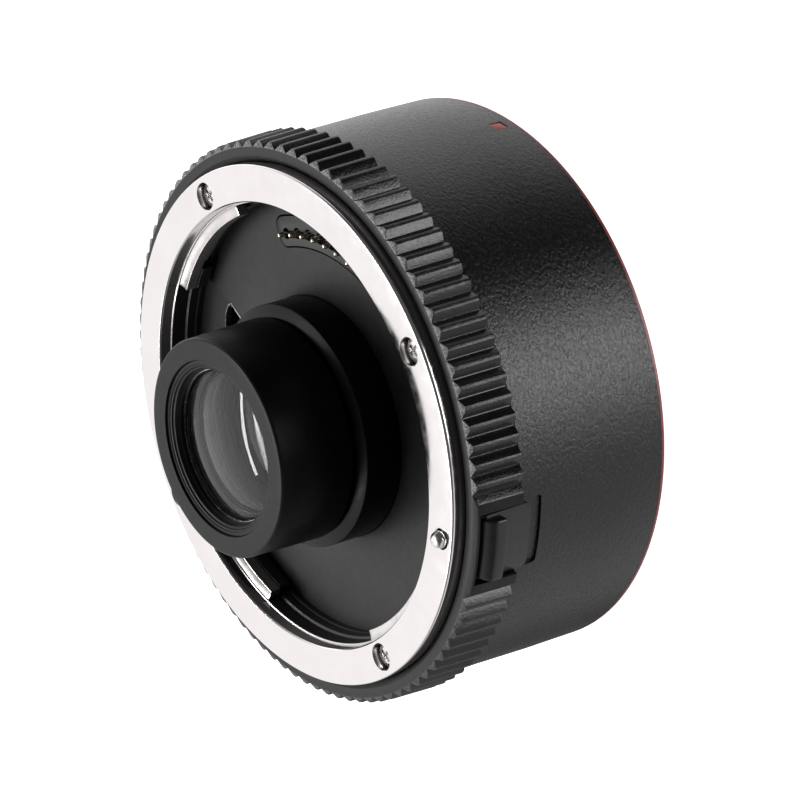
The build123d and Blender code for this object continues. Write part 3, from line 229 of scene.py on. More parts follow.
def build(name, points, faces, sharp=SHARP):
    """A piece from points in millimetres and faces."""
    mesh = bpy.data.meshes.new(name)
    mesh.from_pydata([(x * MM, y * MM, z * MM) for x, y, z in points], [], faces)
    mesh.update()
    shade(mesh, sharp)
    piece = bpy.data.objects.new(name, mesh)
    scene.collection.objects.link(piece)
    return piece


def strips(rows, count, closed=False, first=0):
    """Faces between rows of points, where each row is a loop; closed joins the last row to the first."""
    faces = []
    for row in range(rows if closed else rows - 1):
        low, high = first + row * count, first + (row + 1) % rows * count
        for index in range(count):
            after = (index + 1) % count
            faces.append((low + index, low + after, high + after, high + index))
    return faces


def swept(name, outline, angles, closed):
    """An outline of (radius, height) at each of some angles round the axis."""
    outline = anticlockwise(outline)
    count = len(outline)
    points = [(r * cos(angle), r * sin(angle), z) for angle in angles for r, z in outline]
    faces = [(a, d, c, b) for a, b, c, d in strips(len(angles), count, closed)]
    if not closed:
        faces += [tuple(range(count)), tuple(reversed(range(len(points) - count, len(points))))]
    return build(name, points, faces)


def turned(name, outline, steps=360):
    """A closed outline of (radius, height) turned right round the axis."""
    return swept(name, outline, [2 * pi * step / steps for step in range(steps)], True)


def sector(name, outline, start, end, steps):
    """A closed outline of (radius, height) turned from one angle to another, with flat ends."""
    angles = [radians(start + (end - start) * step / steps) for step in range(steps + 1)]
    return swept(name, outline, angles, False)


def lock_sector(name, outline, half_angle, steps):
    """A sector with the release slider's line in its middle."""
    return sector(name, outline, LOCK_ANGLE - half_angle, LOCK_ANGLE + half_angle, steps)


def solid_disc(name, outline, centre=(0, 0), steps=48, sharp=SHARP):
    """An open outline of (radius, height) from axis to axis, turned about an upright line."""
    x, y = centre
    rings = outline[1:-1]
    points = [(x, y, outline[0][1])]
    for r, z in rings:
        for step in range(steps):
            angle = 2 * pi * step / steps
            points.append((x + r * cos(angle), y + r * sin(angle), z))
    points.append((x, y, outline[-1][1]))
    faces = [(0, 1 + (step + 1) % steps, 1 + step) for step in range(steps)]
    faces += strips(len(rings), steps, first=1)
    last, top = len(points) - 1, 1 + (len(rings) - 1) * steps
    faces += [(top + step, top + (step + 1) % steps, last) for step in range(steps)]
    return build(name, points, faces, sharp)


def prism(name, outline, low, high, foot=None):
    """A flat outline of (x, y) between two heights; the lower end can have an outline of its own."""
    outline = anticlockwise(outline)
    count = len(outline)
    points = [(x, y, low) for x, y in foot or outline] + [(x, y, high) for x, y in outline]
    faces = [tuple(reversed(range(count))), tuple(range(count, 2 * count))] + strips(2, count)
    return build(name, points, faces)


def settle(piece, sharp):
    """Apply a piece's modifiers to its mesh."""
    shown = piece.evaluated_get(bpy.context.evaluated_depsgraph_get())
    mesh = bpy.data.meshes.new_from_object(shown)
    mesh.name = piece.name
    piece.modifiers.clear()
    piece.data = mesh
    shade(mesh, sharp)


def bevel(piece, width, segments=2, limit=SHARP):
    """Round a piece's sharp edges."""
    modifier = piece.modifiers.new("bevel", "BEVEL")
    modifier.width = width * MM
    modifier.segments = segments
    modifier.limit_method = "ANGLE"
    modifier.angle_limit = radians(limit)
    settle(piece, SHARP)
    return piece


def combine(piece, other, operation="DIFFERENCE", sharp=SHARP):
    """Cut another piece out of a piece, or unite them."""
    modifier = piece.modifiers.new("combine", "BOOLEAN")
    modifier.operation = operation
    modifier.solver = "MANIFOLD"
    modifier.object = other
    settle(piece, sharp)
    bpy.data.objects.remove(other)
    return piece


def round_ends(piece, height, radius):
    """Round the two corners of a sector's rear edge, which is at a height."""
    level_gap, wall, corner_angle = 1e-7, 0.5 * MM, radians(60)
    made = bmesh.new()
    made.from_mesh(piece.data)
    edges = [
        edge for edge in made.edges
        if all(abs(v.co.z - height * MM) < level_gap for v in edge.verts)
        and abs(edge.verts[0].co.xy.length - edge.verts[1].co.xy.length) > wall
        and edge.calc_face_angle() > corner_angle
    ]
    bmesh.ops.bevel(made, geom=edges, offset=radius * MM, segments=8, profile=0.5, affect="EDGES")
    made.to_mesh(piece.data)
    made.free()
    shade(piece.data)


def join(name, pieces):
    """One object out of several pieces."""
    mesh = bpy.data.meshes.new(name)
    made = bmesh.new()
    for piece in pieces:
        made.from_mesh(piece.data)
        bpy.data.objects.remove(piece)
    made.to_mesh(mesh)
    made.free()
    shade(mesh)
    piece = bpy.data.objects.new(name, mesh)
    scene.collection.objects.link(piece)
    return piece


def paint(piece, materials, choose):
    """Several materials on one piece; choose gives the number of a face's material."""
    piece.data.materials.clear()
    for material in materials:
        piece.data.materials.append(material)
    for polygon in piece.data.polygons:
        polygon.material_index = choose(polygon)


def two_tone(name, main, extra, material, other):
    """A piece and a small addition to it, each with its own material."""
    count = len(main.data.polygons)
    piece = join(name, [main, extra])
    paint(piece, (material, other), lambda polygon: int(polygon.index >= count))
    return piece


# Materials

class Tree:
    """A node tree with short ways to add to it."""

    def __init__(self, tree):
        self.tree = tree

    def add(self, kind, inputs=(), **settings):
        """A node with its settings and inputs; an input is a constant or another node's output."""
        node = self.tree.nodes.new(kind)
        for key, value in settings.items():
            setattr(node, key, value)
        for key, value in dict(inputs).items():
            if isinstance(value, bpy.types.NodeSocket):
                self.tree.links.new(value, node.inputs[key])
            else:
                node.inputs[key].default_value = value
        return node

    def math(self, operation, first, second=0.0):
        """The result of an operation on one value or two."""
        return self.add("ShaderNodeMath", {0: first, 1: second}, operation=operation).outputs[0]


class Look(Tree):
    """A material whose colour, roughness and relief come from textures."""

    def __init__(self, name, color, roughness, metallic=0.0, **constants):
        self.material = bpy.data.materials.new(name)
        self.material.use_nodes = True
        super().__init__(self.material.node_tree)
        self.shader = self.tree.nodes["Principled BSDF"]
        constants.update(base_color=(*color, 1), roughness=roughness, metallic=metallic)
        for key, value in constants.items():
            socket = key.replace("_", " ").title().replace("Ior", "IOR")
            self.shader.inputs[socket].default_value = value
        self.place = self.add("ShaderNodeTexCoord").outputs["Object"]
        self.relief = None

    def feed(self, socket, output):
        """Link an output to one of the shader's inputs."""
        self.tree.links.new(output, self.shader.inputs[socket])

    def polar(self, around, outwards=1.0):
        """Coordinates along the radius, round the axis and along it, the first two times a factor."""
        x, y, z = self.add("ShaderNodeSeparateXYZ", {0: self.place}).outputs
        squares = [self.math("MULTIPLY", part, part) for part in (x, y)]
        radius = self.math("SQRT", self.math("ADD", *squares))
        values = {
            0: self.math("MULTIPLY", radius, outwards),
            1: self.math("MULTIPLY", self.math("ARCTAN2", y, x), TEXTURE_RADIUS * around),
            2: z,
        }
        return self.add("ShaderNodeCombineXYZ", values).outputs[0]

    def noise(self, size, detail=2.0, roughness=0.5, distortion=0.0, place=None):
        """Noise whose features are about a size in millimetres."""
        inputs = {
            "Vector": place or self.place, "Scale": 1 / (size * MM), "Detail": detail,
            "Roughness": roughness, "Distortion": distortion,
        }
        return self.add("ShaderNodeTexNoise", inputs).outputs["Fac"]

    def cells(self, size):
        """Cells of about a size in millimetres."""
        inputs = {"Vector": self.place, "Scale": 1 / (size * MM)}
        return self.add("ShaderNodeTexVoronoi", inputs).outputs["Distance"]

    def color(self, value, low, high, start=NOISE_LOW, end=NOISE_HIGH):
        """A value turned into a colour between two."""
        ramp = self.add("ShaderNodeValToRGB", {"Fac": value})
        for element, position, color in zip(ramp.color_ramp.elements, (start, end), (low, high)):
            element.position = position
            element.color = (*color, 1)
        self.feed("Base Color", ramp.outputs["Color"])

    def rough(self, value, low, high):
        """A value turned into a roughness between two."""
        inputs = {
            "Value": value, "From Min": NOISE_LOW, "From Max": NOISE_HIGH, "To Min": low, "To Max": high,
        }
        self.feed("Roughness", self.add("ShaderNodeMapRange", inputs).outputs["Result"])

    def bump(self, height, depth):
        """Relief of a depth in millimetres, over the relief that is already there."""
        inputs = {"Height": height, "Distance": depth * MM, "Strength": 1.0}
        if self.relief:
            inputs["Normal"] = self.relief
        self.relief = self.add("ShaderNodeBump", inputs).outputs["Normal"]
        self.feed("Normal", self.relief)


def grey(level):
    """A colour with one level in all its channels."""
    return (level, level, level)


def plain_look(name, color, roughness, mottle, wear, grain, metallic=0.0, **constants):
    """A surface with three noises of its own.

    mottle is size, detail and two colours, wear is size and two roughnesses, and grain is size,
    the noise's roughness and depth.
    """
    look = Look(name, color, roughness, metallic, **constants)
    size, detail, *colors = mottle
    look.color(look.noise(size, detail), *colors)
    size, *levels = wear
    look.rough(look.noise(size), *levels)
    size, crispness, depth = grain
    look.bump(look.noise(size, roughness=crispness), depth)
    return look.material


def matte_look(name, low, high, rough_low, rough_high, grain, depth, **constants):
    """Black moulding, anodising or paint."""
    return plain_look(
        name, grey(low), rough_low, (1.8, 3, grey(low), grey(high)), (0.6, rough_low, rough_high),
        (grain, 0.6, depth), **constants,
    )


def red_look(name, low, high, rough_low, rough_high):
    """Red anodising or paint."""
    return plain_look(
        name, high, rough_low, (0.9, 3, low, high), (0.5, rough_low, rough_high), (0.15, 0.5, 0.003),
    )


def rib_look(name, low, high, rough_low, rough_high, depth, **constants):
    """Blasted black metal with lighter specks."""
    look = Look(name, grey(low), rough_low, **constants)
    look.color(look.noise(0.22, 3, 0.6), grey(low), grey(high), 0.42, 0.64)
    look.rough(look.noise(0.3), rough_low, rough_high)
    look.bump(look.noise(0.24, 3, 0.6), depth * 1.6)
    look.bump(look.noise(0.45), depth * 0.8)
    return look.material


def chrome_look(name, level, rough_low, rough_high):
    """Chrome plate over faint turning marks."""
    def tint(*color):
        return [level * part for part in color]

    look = Look(name, tint(0.90, 0.86, 0.855), 0.12, 1.0)
    look.color(look.noise(6.0), tint(0.88, 0.835, 0.83), tint(0.91, 0.87, 0.865))
    look.rough(look.noise(1.6, 3), rough_low, rough_high)
    look.bump(look.noise(0.09, place=look.polar(0.004)), 0.0003)
    look.bump(look.noise(0.5), 0.0006)
    return look.material


def crinkle_look():
    """The barrel's crinkled black paint."""
    look = Look("crinkle_black", grey(0.01), 0.28)
    place = look.polar(0.8)
    coarse = look.noise(0.36, 3, 0.62, 0.5, place)
    look.color(look.noise(2.4, 3), grey(0.006), grey(0.011))
    look.rough(coarse, 0.2, 0.32)
    look.bump(coarse, 0.085)
    look.bump(look.noise(0.15, 2, 0.5, 0.2, place), 0.034)
    return look.material


def frame_look():
    """Bare metal with turning marks."""
    look = Look("frame_metal", (0.6, 0.6, 0.61), 0.35, 1.0)
    turning = look.noise(0.12, place=look.polar(0.01))
    look.color(look.noise(2.0), (0.52, 0.52, 0.53), (0.64, 0.64, 0.65))
    look.rough(turning, 0.25, 0.45)
    look.bump(turning, 0.002)
    return look.material


def highlight_rings_look():
    """Black with light rings painted in as highlights, where the ridges of a baffle thread would catch the
    light.
    """
    look = Look("black_painted_ring_highlights", grey(0.02), 0.2)
    highlight_bands = look.noise(0.5, roughness=0.6, place=look.polar(0.002, 0.6))
    look.color(highlight_bands, grey(0.004), grey(0.5), 0.5, 0.66)
    look.rough(highlight_bands, 0.14, 0.3)
    look.bump(highlight_bands, 0.04)
    return look.material


def glass_look():
    """Coated glass, with weak reflections and little refraction."""
    look = Look(
        "optical_glass", (0.95, 0.96, 0.95), 0.0,
        transmission_weight=1.0, ior=1.3, specular_ior_level=0.14,
    )
    look.color(look.noise(4.0), (0.92, 0.93, 0.92), (0.97, 0.97, 0.965))
    return look.material


def board_look():
    """Green lacquer with the pattern of tracks under it."""
    look = Look("green_board", (0.02, 0.14, 0.06), 0.4)
    look.color(look.cells(1.3), (0.015, 0.10, 0.045), (0.03, 0.18, 0.08))
    look.rough(look.noise(0.8), 0.3, 0.5)
    look.bump(look.cells(0.9), 0.01)
    return look.material


CHROME = chrome_look("chrome_plate", 1.0, 0.08, 0.16)
# A darker, rougher copy of the chrome for the claws: the darker tint is painted shade under the seat
CLAW_CHROME_SHADE = chrome_look("claw_chrome_painted_shade", 0.66, 0.24, 0.36)
STEEL = plain_look(
    "screw_steel", (0.74, 0.73, 0.72), 0.2, (0.7, 3, (0.62, 0.61, 0.60), (0.80, 0.79, 0.78)),
    (0.4, 0.12, 0.3), (0.12, 0.5, 0.0015), 1.0,
)
SPRING = plain_look(
    "spring_steel", grey(0.62), 0.3, (0.8, 2, grey(0.5), (0.68, 0.68, 0.67)),
    (0.3, 0.2, 0.4), (0.1, 0.5, 0.002), 1.0,
)
GOLD = plain_look(
    "gold_plate", (0.93, 0.86, 0.70), 0.22, (0.3, 2, (0.88, 0.78, 0.58), (0.96, 0.90, 0.76)),
    (0.2, 0.14, 0.32), (0.08, 0.5, 0.001), 1.0,
)
FLEX = plain_look(
    "amber_flex", (0.5, 0.22, 0.04), 0.35, (0.7, 2, (0.42, 0.17, 0.03), (0.58, 0.28, 0.06)),
    (0.5, 0.28, 0.45), (0.3, 0.5, 0.003),
)
CRINKLE = crinkle_look()
RIB_TOP = rib_look("rib_blasted", 0.006, 0.06, 0.26, 0.42, 0.03)
# A darker, smoother copy of the blasted black for the grooves' flanks: the darker colour is painted shade in
# the grooves
RIB_SIDE_SHADE = rib_look("rib_side_painted_shade", 0.002, 0.008, 0.17, 0.28, 0.022)
# A lighter copy of the blasted black for the chamfer's facets on one side: painted highlight where light
# falls on them
RIB_FACET_HIGHLIGHT = rib_look("rib_facet_painted_highlight", 0.06, 0.34, 0.3, 0.42, 0.02)
GRIP_FACE = rib_look("grip_face", 0.005, 0.010, 0.36, 0.48, 0.008, specular_ior_level=0.3)
SLIDER = matte_look("slider_black", 0.015, 0.022, 0.28, 0.38, 0.1, 0.005)
TUBE = matte_look("tube_black", 0.006, 0.010, 0.34, 0.44, 0.14, 0.004, specular_ior_level=0.2)
# A darker, less shiny copy of the tube's black for its outer side: painted shade
TUBE_SIDE_SHADE = matte_look("tube_side_painted_shade", 0.003, 0.005, 0.34, 0.44, 0.14, 0.003, specular_ior_level=0.08)
# Black made darker and duller still: painted shade where the tube shadows the collar
COLLAR_SHADED_BLACK = matte_look("collar_black_painted_shade", 0.0008, 0.0016, 0.3, 0.42, 0.14, 0.002, specular_ior_level=0.15)
BAFFLE = matte_look("baffle_black", 0.010, 0.015, 0.4, 0.5, 0.1, 0.004, specular_ior_level=0.3)
MOULDING = matte_look("black_moulding", 0.010, 0.016, 0.32, 0.44, 0.1, 0.003)
INNER = matte_look("inner_black", 0.006, 0.010, 0.5, 0.65, 0.12, 0.004)
CHIP = matte_look("chip_body", 0.02, 0.03, 0.45, 0.6, 0.1, 0.003)
RED_RING = red_look("red_anodised", (0.34, 0.07, 0.07), (0.46, 0.11, 0.11), 0.3, 0.42)
RED_PAINT = red_look("red_paint", (0.62, 0.03, 0.035), (0.76, 0.05, 0.05), 0.25, 0.38)
FRAME_METAL = frame_look()
GLASS = glass_look()
RINGED_HIGHLIGHTS = highlight_rings_look()
BOARD = board_look()


def dress(piece, material, node, body="converter_body"):
    """Give a finished piece its material, slot and body, and hide the node that it stands for."""
    if material:
        piece.data.materials.clear()
        piece.data.materials.append(material)
    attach(piece, body)
    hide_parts(node)


# Front bayonet ring

def front_ring():
    """The chrome seat with its claws, the bores of the screws and the bore of the lock pin."""
    outline = [
        (27.7, 26.2), (31.9, 26.2, 0.1), (31.9, SEAT_Z, 0.35), (27.5, SEAT_Z, 0.05),
        (27.35, SEAT_Z - 0.2, 0.1), (27.3, 28.45, 0.03), (27.1, 28.4, 0.03), (27.1, 28.25), (27.7, 28.25),
    ]
    ring = turned("chrome_ring", rounded(outline, steps=6), WIDE_STEPS)
    claw_outline = [(28.2, 26.6), (28.2, 28.75), (27.42, 28.75), (27.28, 28.5)]
    claw_outline += [(27.2 - 1.15 * (1 - cos(turn)), 28.36 - 0.34 * sin(turn)) for turn in quarter(8)]
    claw_outline += [(25.93, 28.03), (25.85, 27.95), (25.85, 26.6)]
    for start, end in CLAW_SPANS:
        combine(ring, bevel(sector("claw", claw_outline, start, end, 48), 0.06), "UNION")
    screw_bore = [
        (0, SCREW_FLOOR_Z), (1.66, SCREW_FLOOR_Z), (1.68, 28.62), (1.68, SEAT_Z - 0.05), (1.73, SEAT_Z),
        (1.73, 31), (0, 31),
    ]
    pin_bore = [(0, 26), (1.2, 26), (1.2, SEAT_Z - 0.1), (1.3, SEAT_Z), (1.3, 31), (0, 31)]
    cutters = [solid_disc("bore", screw_bore, at(SCREW_CIRCLE, angle), 64) for angle in SCREW_ANGLES]
    cutters.append(solid_disc("pin_bore", pin_bore, at(LOCK_RADIUS, LOCK_ANGLE), 64))
    combine(ring, join("bores", cutters))
    claw_radius, claw_top = 28.3 * MM, 28.8 * MM

    def is_claw(polygon):
        return int(polygon.center.xy.length < claw_radius and polygon.center.z < claw_top)

    # The claws take the darker chrome, painted shade
    paint(ring, (CHROME, CLAW_CHROME_SHADE), is_claw)
    dress(ring, None, "front_bayonet_ring")


def cross_cutters(centre, turn):
    """The two blades of a driver recess, a little shorter at its floor."""
    low, high = SCREW_FLOOR_Z + 0.3, SCREW_FLOOR_Z + 0.9
    length, width, floor_share = 1.9, 0.42, 0.72
    blades = []
    for extra in (0, 90):
        angle = radians(turn + extra)
        along, across = Vector((cos(angle), sin(angle))), Vector((-sin(angle), cos(angle)))
        foot, outline = [
            [
                tuple(Vector(centre) + along * (a * length / 2 * scale) + across * (b * width / 2))
                for a, b in ((-1, -1), (1, -1), (1, 1), (-1, 1))
            ]
            for scale in (floor_share, 1.0)
        ]
        blades.append(prism("blade", outline, low, high, foot))
    return blades


def front_screws():
    """The sunk pan heads with their driver recesses."""
    head = [
        (0, 0.0), (1.5, 0.0), (1.55, 0.05), (1.5, 0.35), (1.38, 0.58), (1.15, 0.70), (0.8, 0.745),
        (0.4, 0.75), (0, 0.75),
    ]
    outline = [(r, SCREW_FLOOR_Z + z) for r, z in head]
    heads = []
    for angle in SCREW_ANGLES:
        middle = at(SCREW_CIRCLE, angle)
        heads.append(solid_disc("head", outline, middle))
        for blade in cross_cutters(middle, angle + CROSS_TURN):
            combine(heads[-1], blade)
    dress(join("front_screw_heads", heads), STEEL, "front_mount_screws")


def lock_pin():
    """The domed end of the pin that rises through the seat."""
    profile = [(0, 22.6), (0.97, 22.6), (1.02, 22.65), (1.02, 30.3)]
    profile += [(0.3 + 0.72 * cos(turn), 30.3 + 0.8 * sin(turn)) for turn in quarter(8)[1:]]
    profile.append((0, 31.12))
    pin = solid_disc("lock_pin_tip", profile, at(LOCK_RADIUS, LOCK_ANGLE), 64)
    dress(pin, STEEL, "lock_pin", body="lens_release")


# Grip ring

def taper(z, front_z):
    """The radius at a height of a cone from the grip's rear radius to its front radius."""
    fall = GRIP_FRONT_RADIUS - GRIP_REAR_RADIUS
    return GRIP_REAR_RADIUS + fall * (z - GRIP_REAR_Z) / (front_z - GRIP_REAR_Z)


def skin_radius(z):
    """The radius of the ribs' tops and of the chamfer in front of them."""
    if z <= CHAMFER_Z:
        return taper(z, CHAMFER_Z)
    return GRIP_FRONT_RADIUS - (GRIP_FRONT_RADIUS - GRIP_FACE_RADIUS) * (z - CHAMFER_Z) / GRIP_CHAMFER


def half_groove(skin, bottom):
    """Half of one groove as (angle, radius), from its middle to the rib's edge."""
    slope = GROOVE_SLOPE
    edge = atan(slope) - asin(slope * bottom / skin / sqrt(1 + slope * slope))

    def flank(angle):
        return slope * bottom / (slope * cos(angle) - sin(angle))

    soft = min(0.06 / skin, edge * 0.3)
    floor_half = min(0.05 / skin, edge * 0.25)
    return [
        (0.0, flank(floor_half) - 0.004),
        (floor_half, flank(floor_half)),
        (edge - soft, flank(edge - soft)),
        (edge - soft * 0.2, min(flank(edge - soft * 0.2), skin) - 0.022),
        (edge + soft, skin),
    ]


def skin_row(z, inset):
    """The grip's outside at a height as (angle, radius): every groove and rib, then the plain land."""
    skin = skin_radius(z) - inset
    bottom = min(taper(z, GRIP_FRONT_Z) - GROOVE_DEPTH, skin - 0.02)
    half = half_groove(skin, bottom)
    row = []
    for groove in range(GROOVE_COUNT):
        centre = radians(GROOVE_FIRST + groove * GROOVE_PITCH)
        row += [(centre - angle, radius) for angle, radius in reversed(half[1:])]
        row += [(centre + angle, radius) for angle, radius in half]
        if groove < GROOVE_COUNT - 1:
            row.append((centre + radians(GROOVE_PITCH / 2), skin))
    edge = half[-1][0]
    start = radians(GROOVE_FIRST + (GROOVE_COUNT - 1) * GROOVE_PITCH) + edge
    end = radians(GROOVE_FIRST + FULL_TURN) - edge
    row += [(start + (end - start) * step / LAND_STEPS, skin) for step in range(1, LAND_STEPS)]
    return row


def grip_ring():
    """The ribbed ring, with every groove worked out so that the facets of its chamfer are exact."""
    levels = [
        (GRIP_REAR_Z, 0.10), (GRIP_REAR_Z + 0.1, 0.0), (GRIP_REAR_Z + 2.2, 0.0), (GRIP_REAR_Z + 4.3, 0.0),
        (CHAMFER_Z - 0.12, 0.0), (CHAMFER_Z, 0.035), (CHAMFER_Z + 0.05, 0.0),
        (GRIP_FRONT_Z - 0.15, 0.0), (GRIP_FRONT_Z - 0.03, 0.0), (GRIP_FRONT_Z, 0.01),
    ]
    rows = [skin_row(z, inset) for z, inset in levels]
    heights = [z for z, _ in levels]
    # Front face, its inner bevel, the bore and the rear face
    inside = [
        (33.2, GRIP_FRONT_Z), (32.66, GRIP_FRONT_Z), (32.58, 28.59), (31.98, 28.1), (31.95, 28.0),
        (31.95, 26.0), (33.25, 26.0), (33.25, GRIP_REAR_Z),
    ]
    front_row = rows[-1]
    rows += [[(angle, radius) for angle, _ in front_row] for radius, _ in inside]
    heights += [z for _, z in inside]
    count = len(front_row)
    points = [(r * cos(angle), r * sin(angle), z) for row, z in zip(rows, heights) for angle, r in row]
    ring = build("ribbed_ring", points, strips(len(rows), count, closed=True), GRIP_SHARP)

    top, side, face, bore, lit_facet = range(5)
    face_level = len(levels) - 1
    land_start = count - LAND_STEPS
    # Chamfer facets before this angle take the lighter copy, a painted highlight on the lit side; those past
    # it, in shade, keep the tops' black
    lit_facet_end, below_skin = radians(235), 0.05

    def choose(polygon):
        level, index = divmod(polygon.index, count)
        if level >= face_level:
            return face if level < face_level + 2 else bore
        if index >= land_start:
            return face
        radius = min(rows[level][index][1], rows[level][(index + 1) % count][1])
        # Flanks below the skin take the darker copy, painted shade in the grooves
        if radius < skin_radius(heights[level]) - below_skin:
            return side
        in_chamfer = heights[level] > CHAMFER_Z - 0.01
        return lit_facet if in_chamfer and front_row[index][0] < lit_facet_end else top

    paint(ring, (RIB_TOP, RIB_SIDE_SHADE, GRIP_FACE, TUBE, RIB_FACET_HIGHLIGHT), choose)
    pocket = lock_sector("pocket", box_outline(33.0, 36.5, 20.0, 28.1), POCKET_HALF_ANGLE, 24)
    combine(ring, pocket, sharp=GRIP_SHARP)
    dress(ring, None, "grip_ring")


# Main barrel

def index_block(name, inner, outer, size):
    """A square block along the spoke of the index mark."""
    outline = spoke_box(INDEX_ANGLE, inner, outer, size)
    return prism(name, outline, INDEX_Z - size / 2, INDEX_Z + size / 2)


def barrel():
    """The shell with the slider's pocket and slot, the index mark and the red rear edge."""
    outline = [
        (BARREL_BORE, TRIM_FRONT_Z), (34.12, TRIM_FRONT_Z, 0.06), (34.06, 8.0, 6.0), (33.84, 16.0, 6.0),
        (33.78, 21.62, 0.1), (33.6, 21.8, 0.08), (33.2, 21.8), (33.2, 26.0), (31.8, 26.0),
        (BARREL_BORE, 25.8), (BARREL_BORE, 23.4), (32.0, 22.6), (32.0, 4.8), (BARREL_BORE, 4.0),
    ]
    shell = turned("barrel_shell", rounded(outline, steps=6), WIDE_STEPS)
    pocket = lock_sector("pocket", box_outline(33.5, 36.0, POCKET_REAR_Z, 27.0), POCKET_HALF_ANGLE, 24)
    round_ends(pocket, POCKET_REAR_Z, 1.0)
    combine(shell, pocket)
    combine(shell, prism("slot", spoke_box(LOCK_ANGLE, 30.5, 34.5, 5.6), 20.2, 25.3))
    combine(shell, index_block("seat", 33.62, 36.0, 1.68))
    dress(shell, CRINKLE, "main_barrel")
    mark = bevel(index_block("index_mark", 33.64, 34.04, 1.66), 0.05)
    dress(mark, RED_PAINT, "lens_index_mark")
    outline = [
        (BARREL_BORE, TRIM_REAR_Z), (34.02, TRIM_REAR_Z, 0.1), (34.12, 0.52, 0.06), (34.12, TRIM_FRONT_Z),
        (BARREL_BORE, TRIM_FRONT_Z),
    ]
    trim = turned("red_trim", rounded(outline), WIDE_STEPS)
    dress(trim, RED_RING, "red_trim_ring")


# Throat and contacts

def block_outline(margin, corner):
    """The flat outline of the contact block, or one that is wider by a margin."""
    turn = margin / CONTACT_RADIUS * DEGREES
    return arc_outline(
        BLOCK_INNER - margin, BLOCK_OUTER + margin, CONTACT_CENTRE - BLOCK_HALF_ANGLE - turn,
        CONTACT_CENTRE + BLOCK_HALF_ANGLE + turn, corner,
    )


def pointed_outline():
    """The pointed opening beside the tube: a tip, an outer arc and an inner foot."""
    tip, bulge = Vector(at(21.35, 157.2)), Vector(at(21.75, 162.5))
    outer_foot, inner_foot = Vector(at(20.9, 170.5)), Vector(at(18.2, 158.8))
    swell = bulge - tip.lerp(outer_foot, 0.5)
    arc = []
    for step in range(1, 10):
        share = step / 10
        arc.append(tuple(tip.lerp(outer_foot, share) + swell * (4 * share * (1 - share))))
    corners = [(*inner_foot, 0.5), (*tip, 0.7)] + arc + [(*outer_foot, 0.5)]
    return rounded(corners, steps=6)


def throat():
    """The stepped liner behind the lip and the baffle across the throat."""
    outline = [
        (26.6, 24.45), (27.65, 24.45), (27.65, 28.2), (27.12, 28.2, 0.05), (27.1, 26.47, 0.05),
        (26.78, 26.34, 0.05), (26.75, 25.25, 0.05), (26.62, 25.1, 0.05),
    ]
    liner = turned("liner_sleeve", rounded(outline), WIDE_STEPS)
    notch, gap = box_outline(26.1, 28.7, 25.85, 28.4), 0.5
    cutters = [sector("notch", notch, start - gap, end + gap, 40) for start, end in CLAW_SPANS]
    combine(liner, join("notches", cutters))
    for start, end in STOP_SPANS:
        stop = sector("stop", box_outline(25.7, 27.0, 25.0, 26.5), start, end, 20)
        combine(liner, bevel(stop, 0.06), "UNION")
    dress(liner, MOULDING, "throat_liner")

    outline = [
        (14.95, BAFFLE_BACK_Z), (27.6, BAFFLE_BACK_Z), (27.6, BAFFLE_FRONT_Z), (14.95, BAFFLE_FRONT_Z, 0.05),
    ]
    plate = turned("baffle_plate", rounded(outline))
    opening = pointed_outline()
    combine(plate, prism("window", block_outline(0.2, 1.5), 23.0, 25.0))
    combine(plate, prism("opening", opening, 23.0, 25.0))
    # A thin bright edge round the pointed opening
    centre = sum((Vector(spot) for spot in opening), Vector((0, 0))) / len(opening)
    wider = [tuple(centre + (Vector(spot) - centre) * 1.09) for spot in opening]
    rim = combine(prism("rim", wider, 24.3, 24.45), prism("rim_hole", opening, 24.0, 25.0))
    plate = two_tone("baffle_plate", plate, rim, BAFFLE, STEEL)
    dress(plate, None, "front_baffle")


def contact_block():
    """The moulding that holds the contact pins, with its trough and a well for each pin."""
    block = prism("contact_moulding", block_outline(0, 1.3), 21.0, BLOCK_TOP_Z)
    bevel(block, 0.07, limit=50)
    middle = (CONTACT_COUNT - 1) / 2
    angles = [CONTACT_CENTRE + (middle - index) * CONTACT_PITCH for index in range(CONTACT_COUNT)]
    inner, outer, margin = CONTACT_RADIUS - 0.6, CONTACT_RADIUS + 0.3, 1.2
    trough = arc_outline(inner, outer, angles[-1] - margin, angles[0] + margin, 0.4)
    combine(block, prism("trough", trough, TROUGH_Z, 25.0))
    profile = [
        (0, 20.5), (0.47, 20.5), (0.47, TROUGH_Z), (0.66, TROUGH_Z), (0.66, BLOCK_TOP_Z - 0.06),
        (0.72, BLOCK_TOP_Z), (0.72, 25.2), (0, 25.2),
    ]
    for angle in angles:
        combine(block, solid_disc("well", profile, at(CONTACT_RADIUS, angle), 32))
    dress(block, MOULDING, "front_contact_block")


# Lens tube and glass

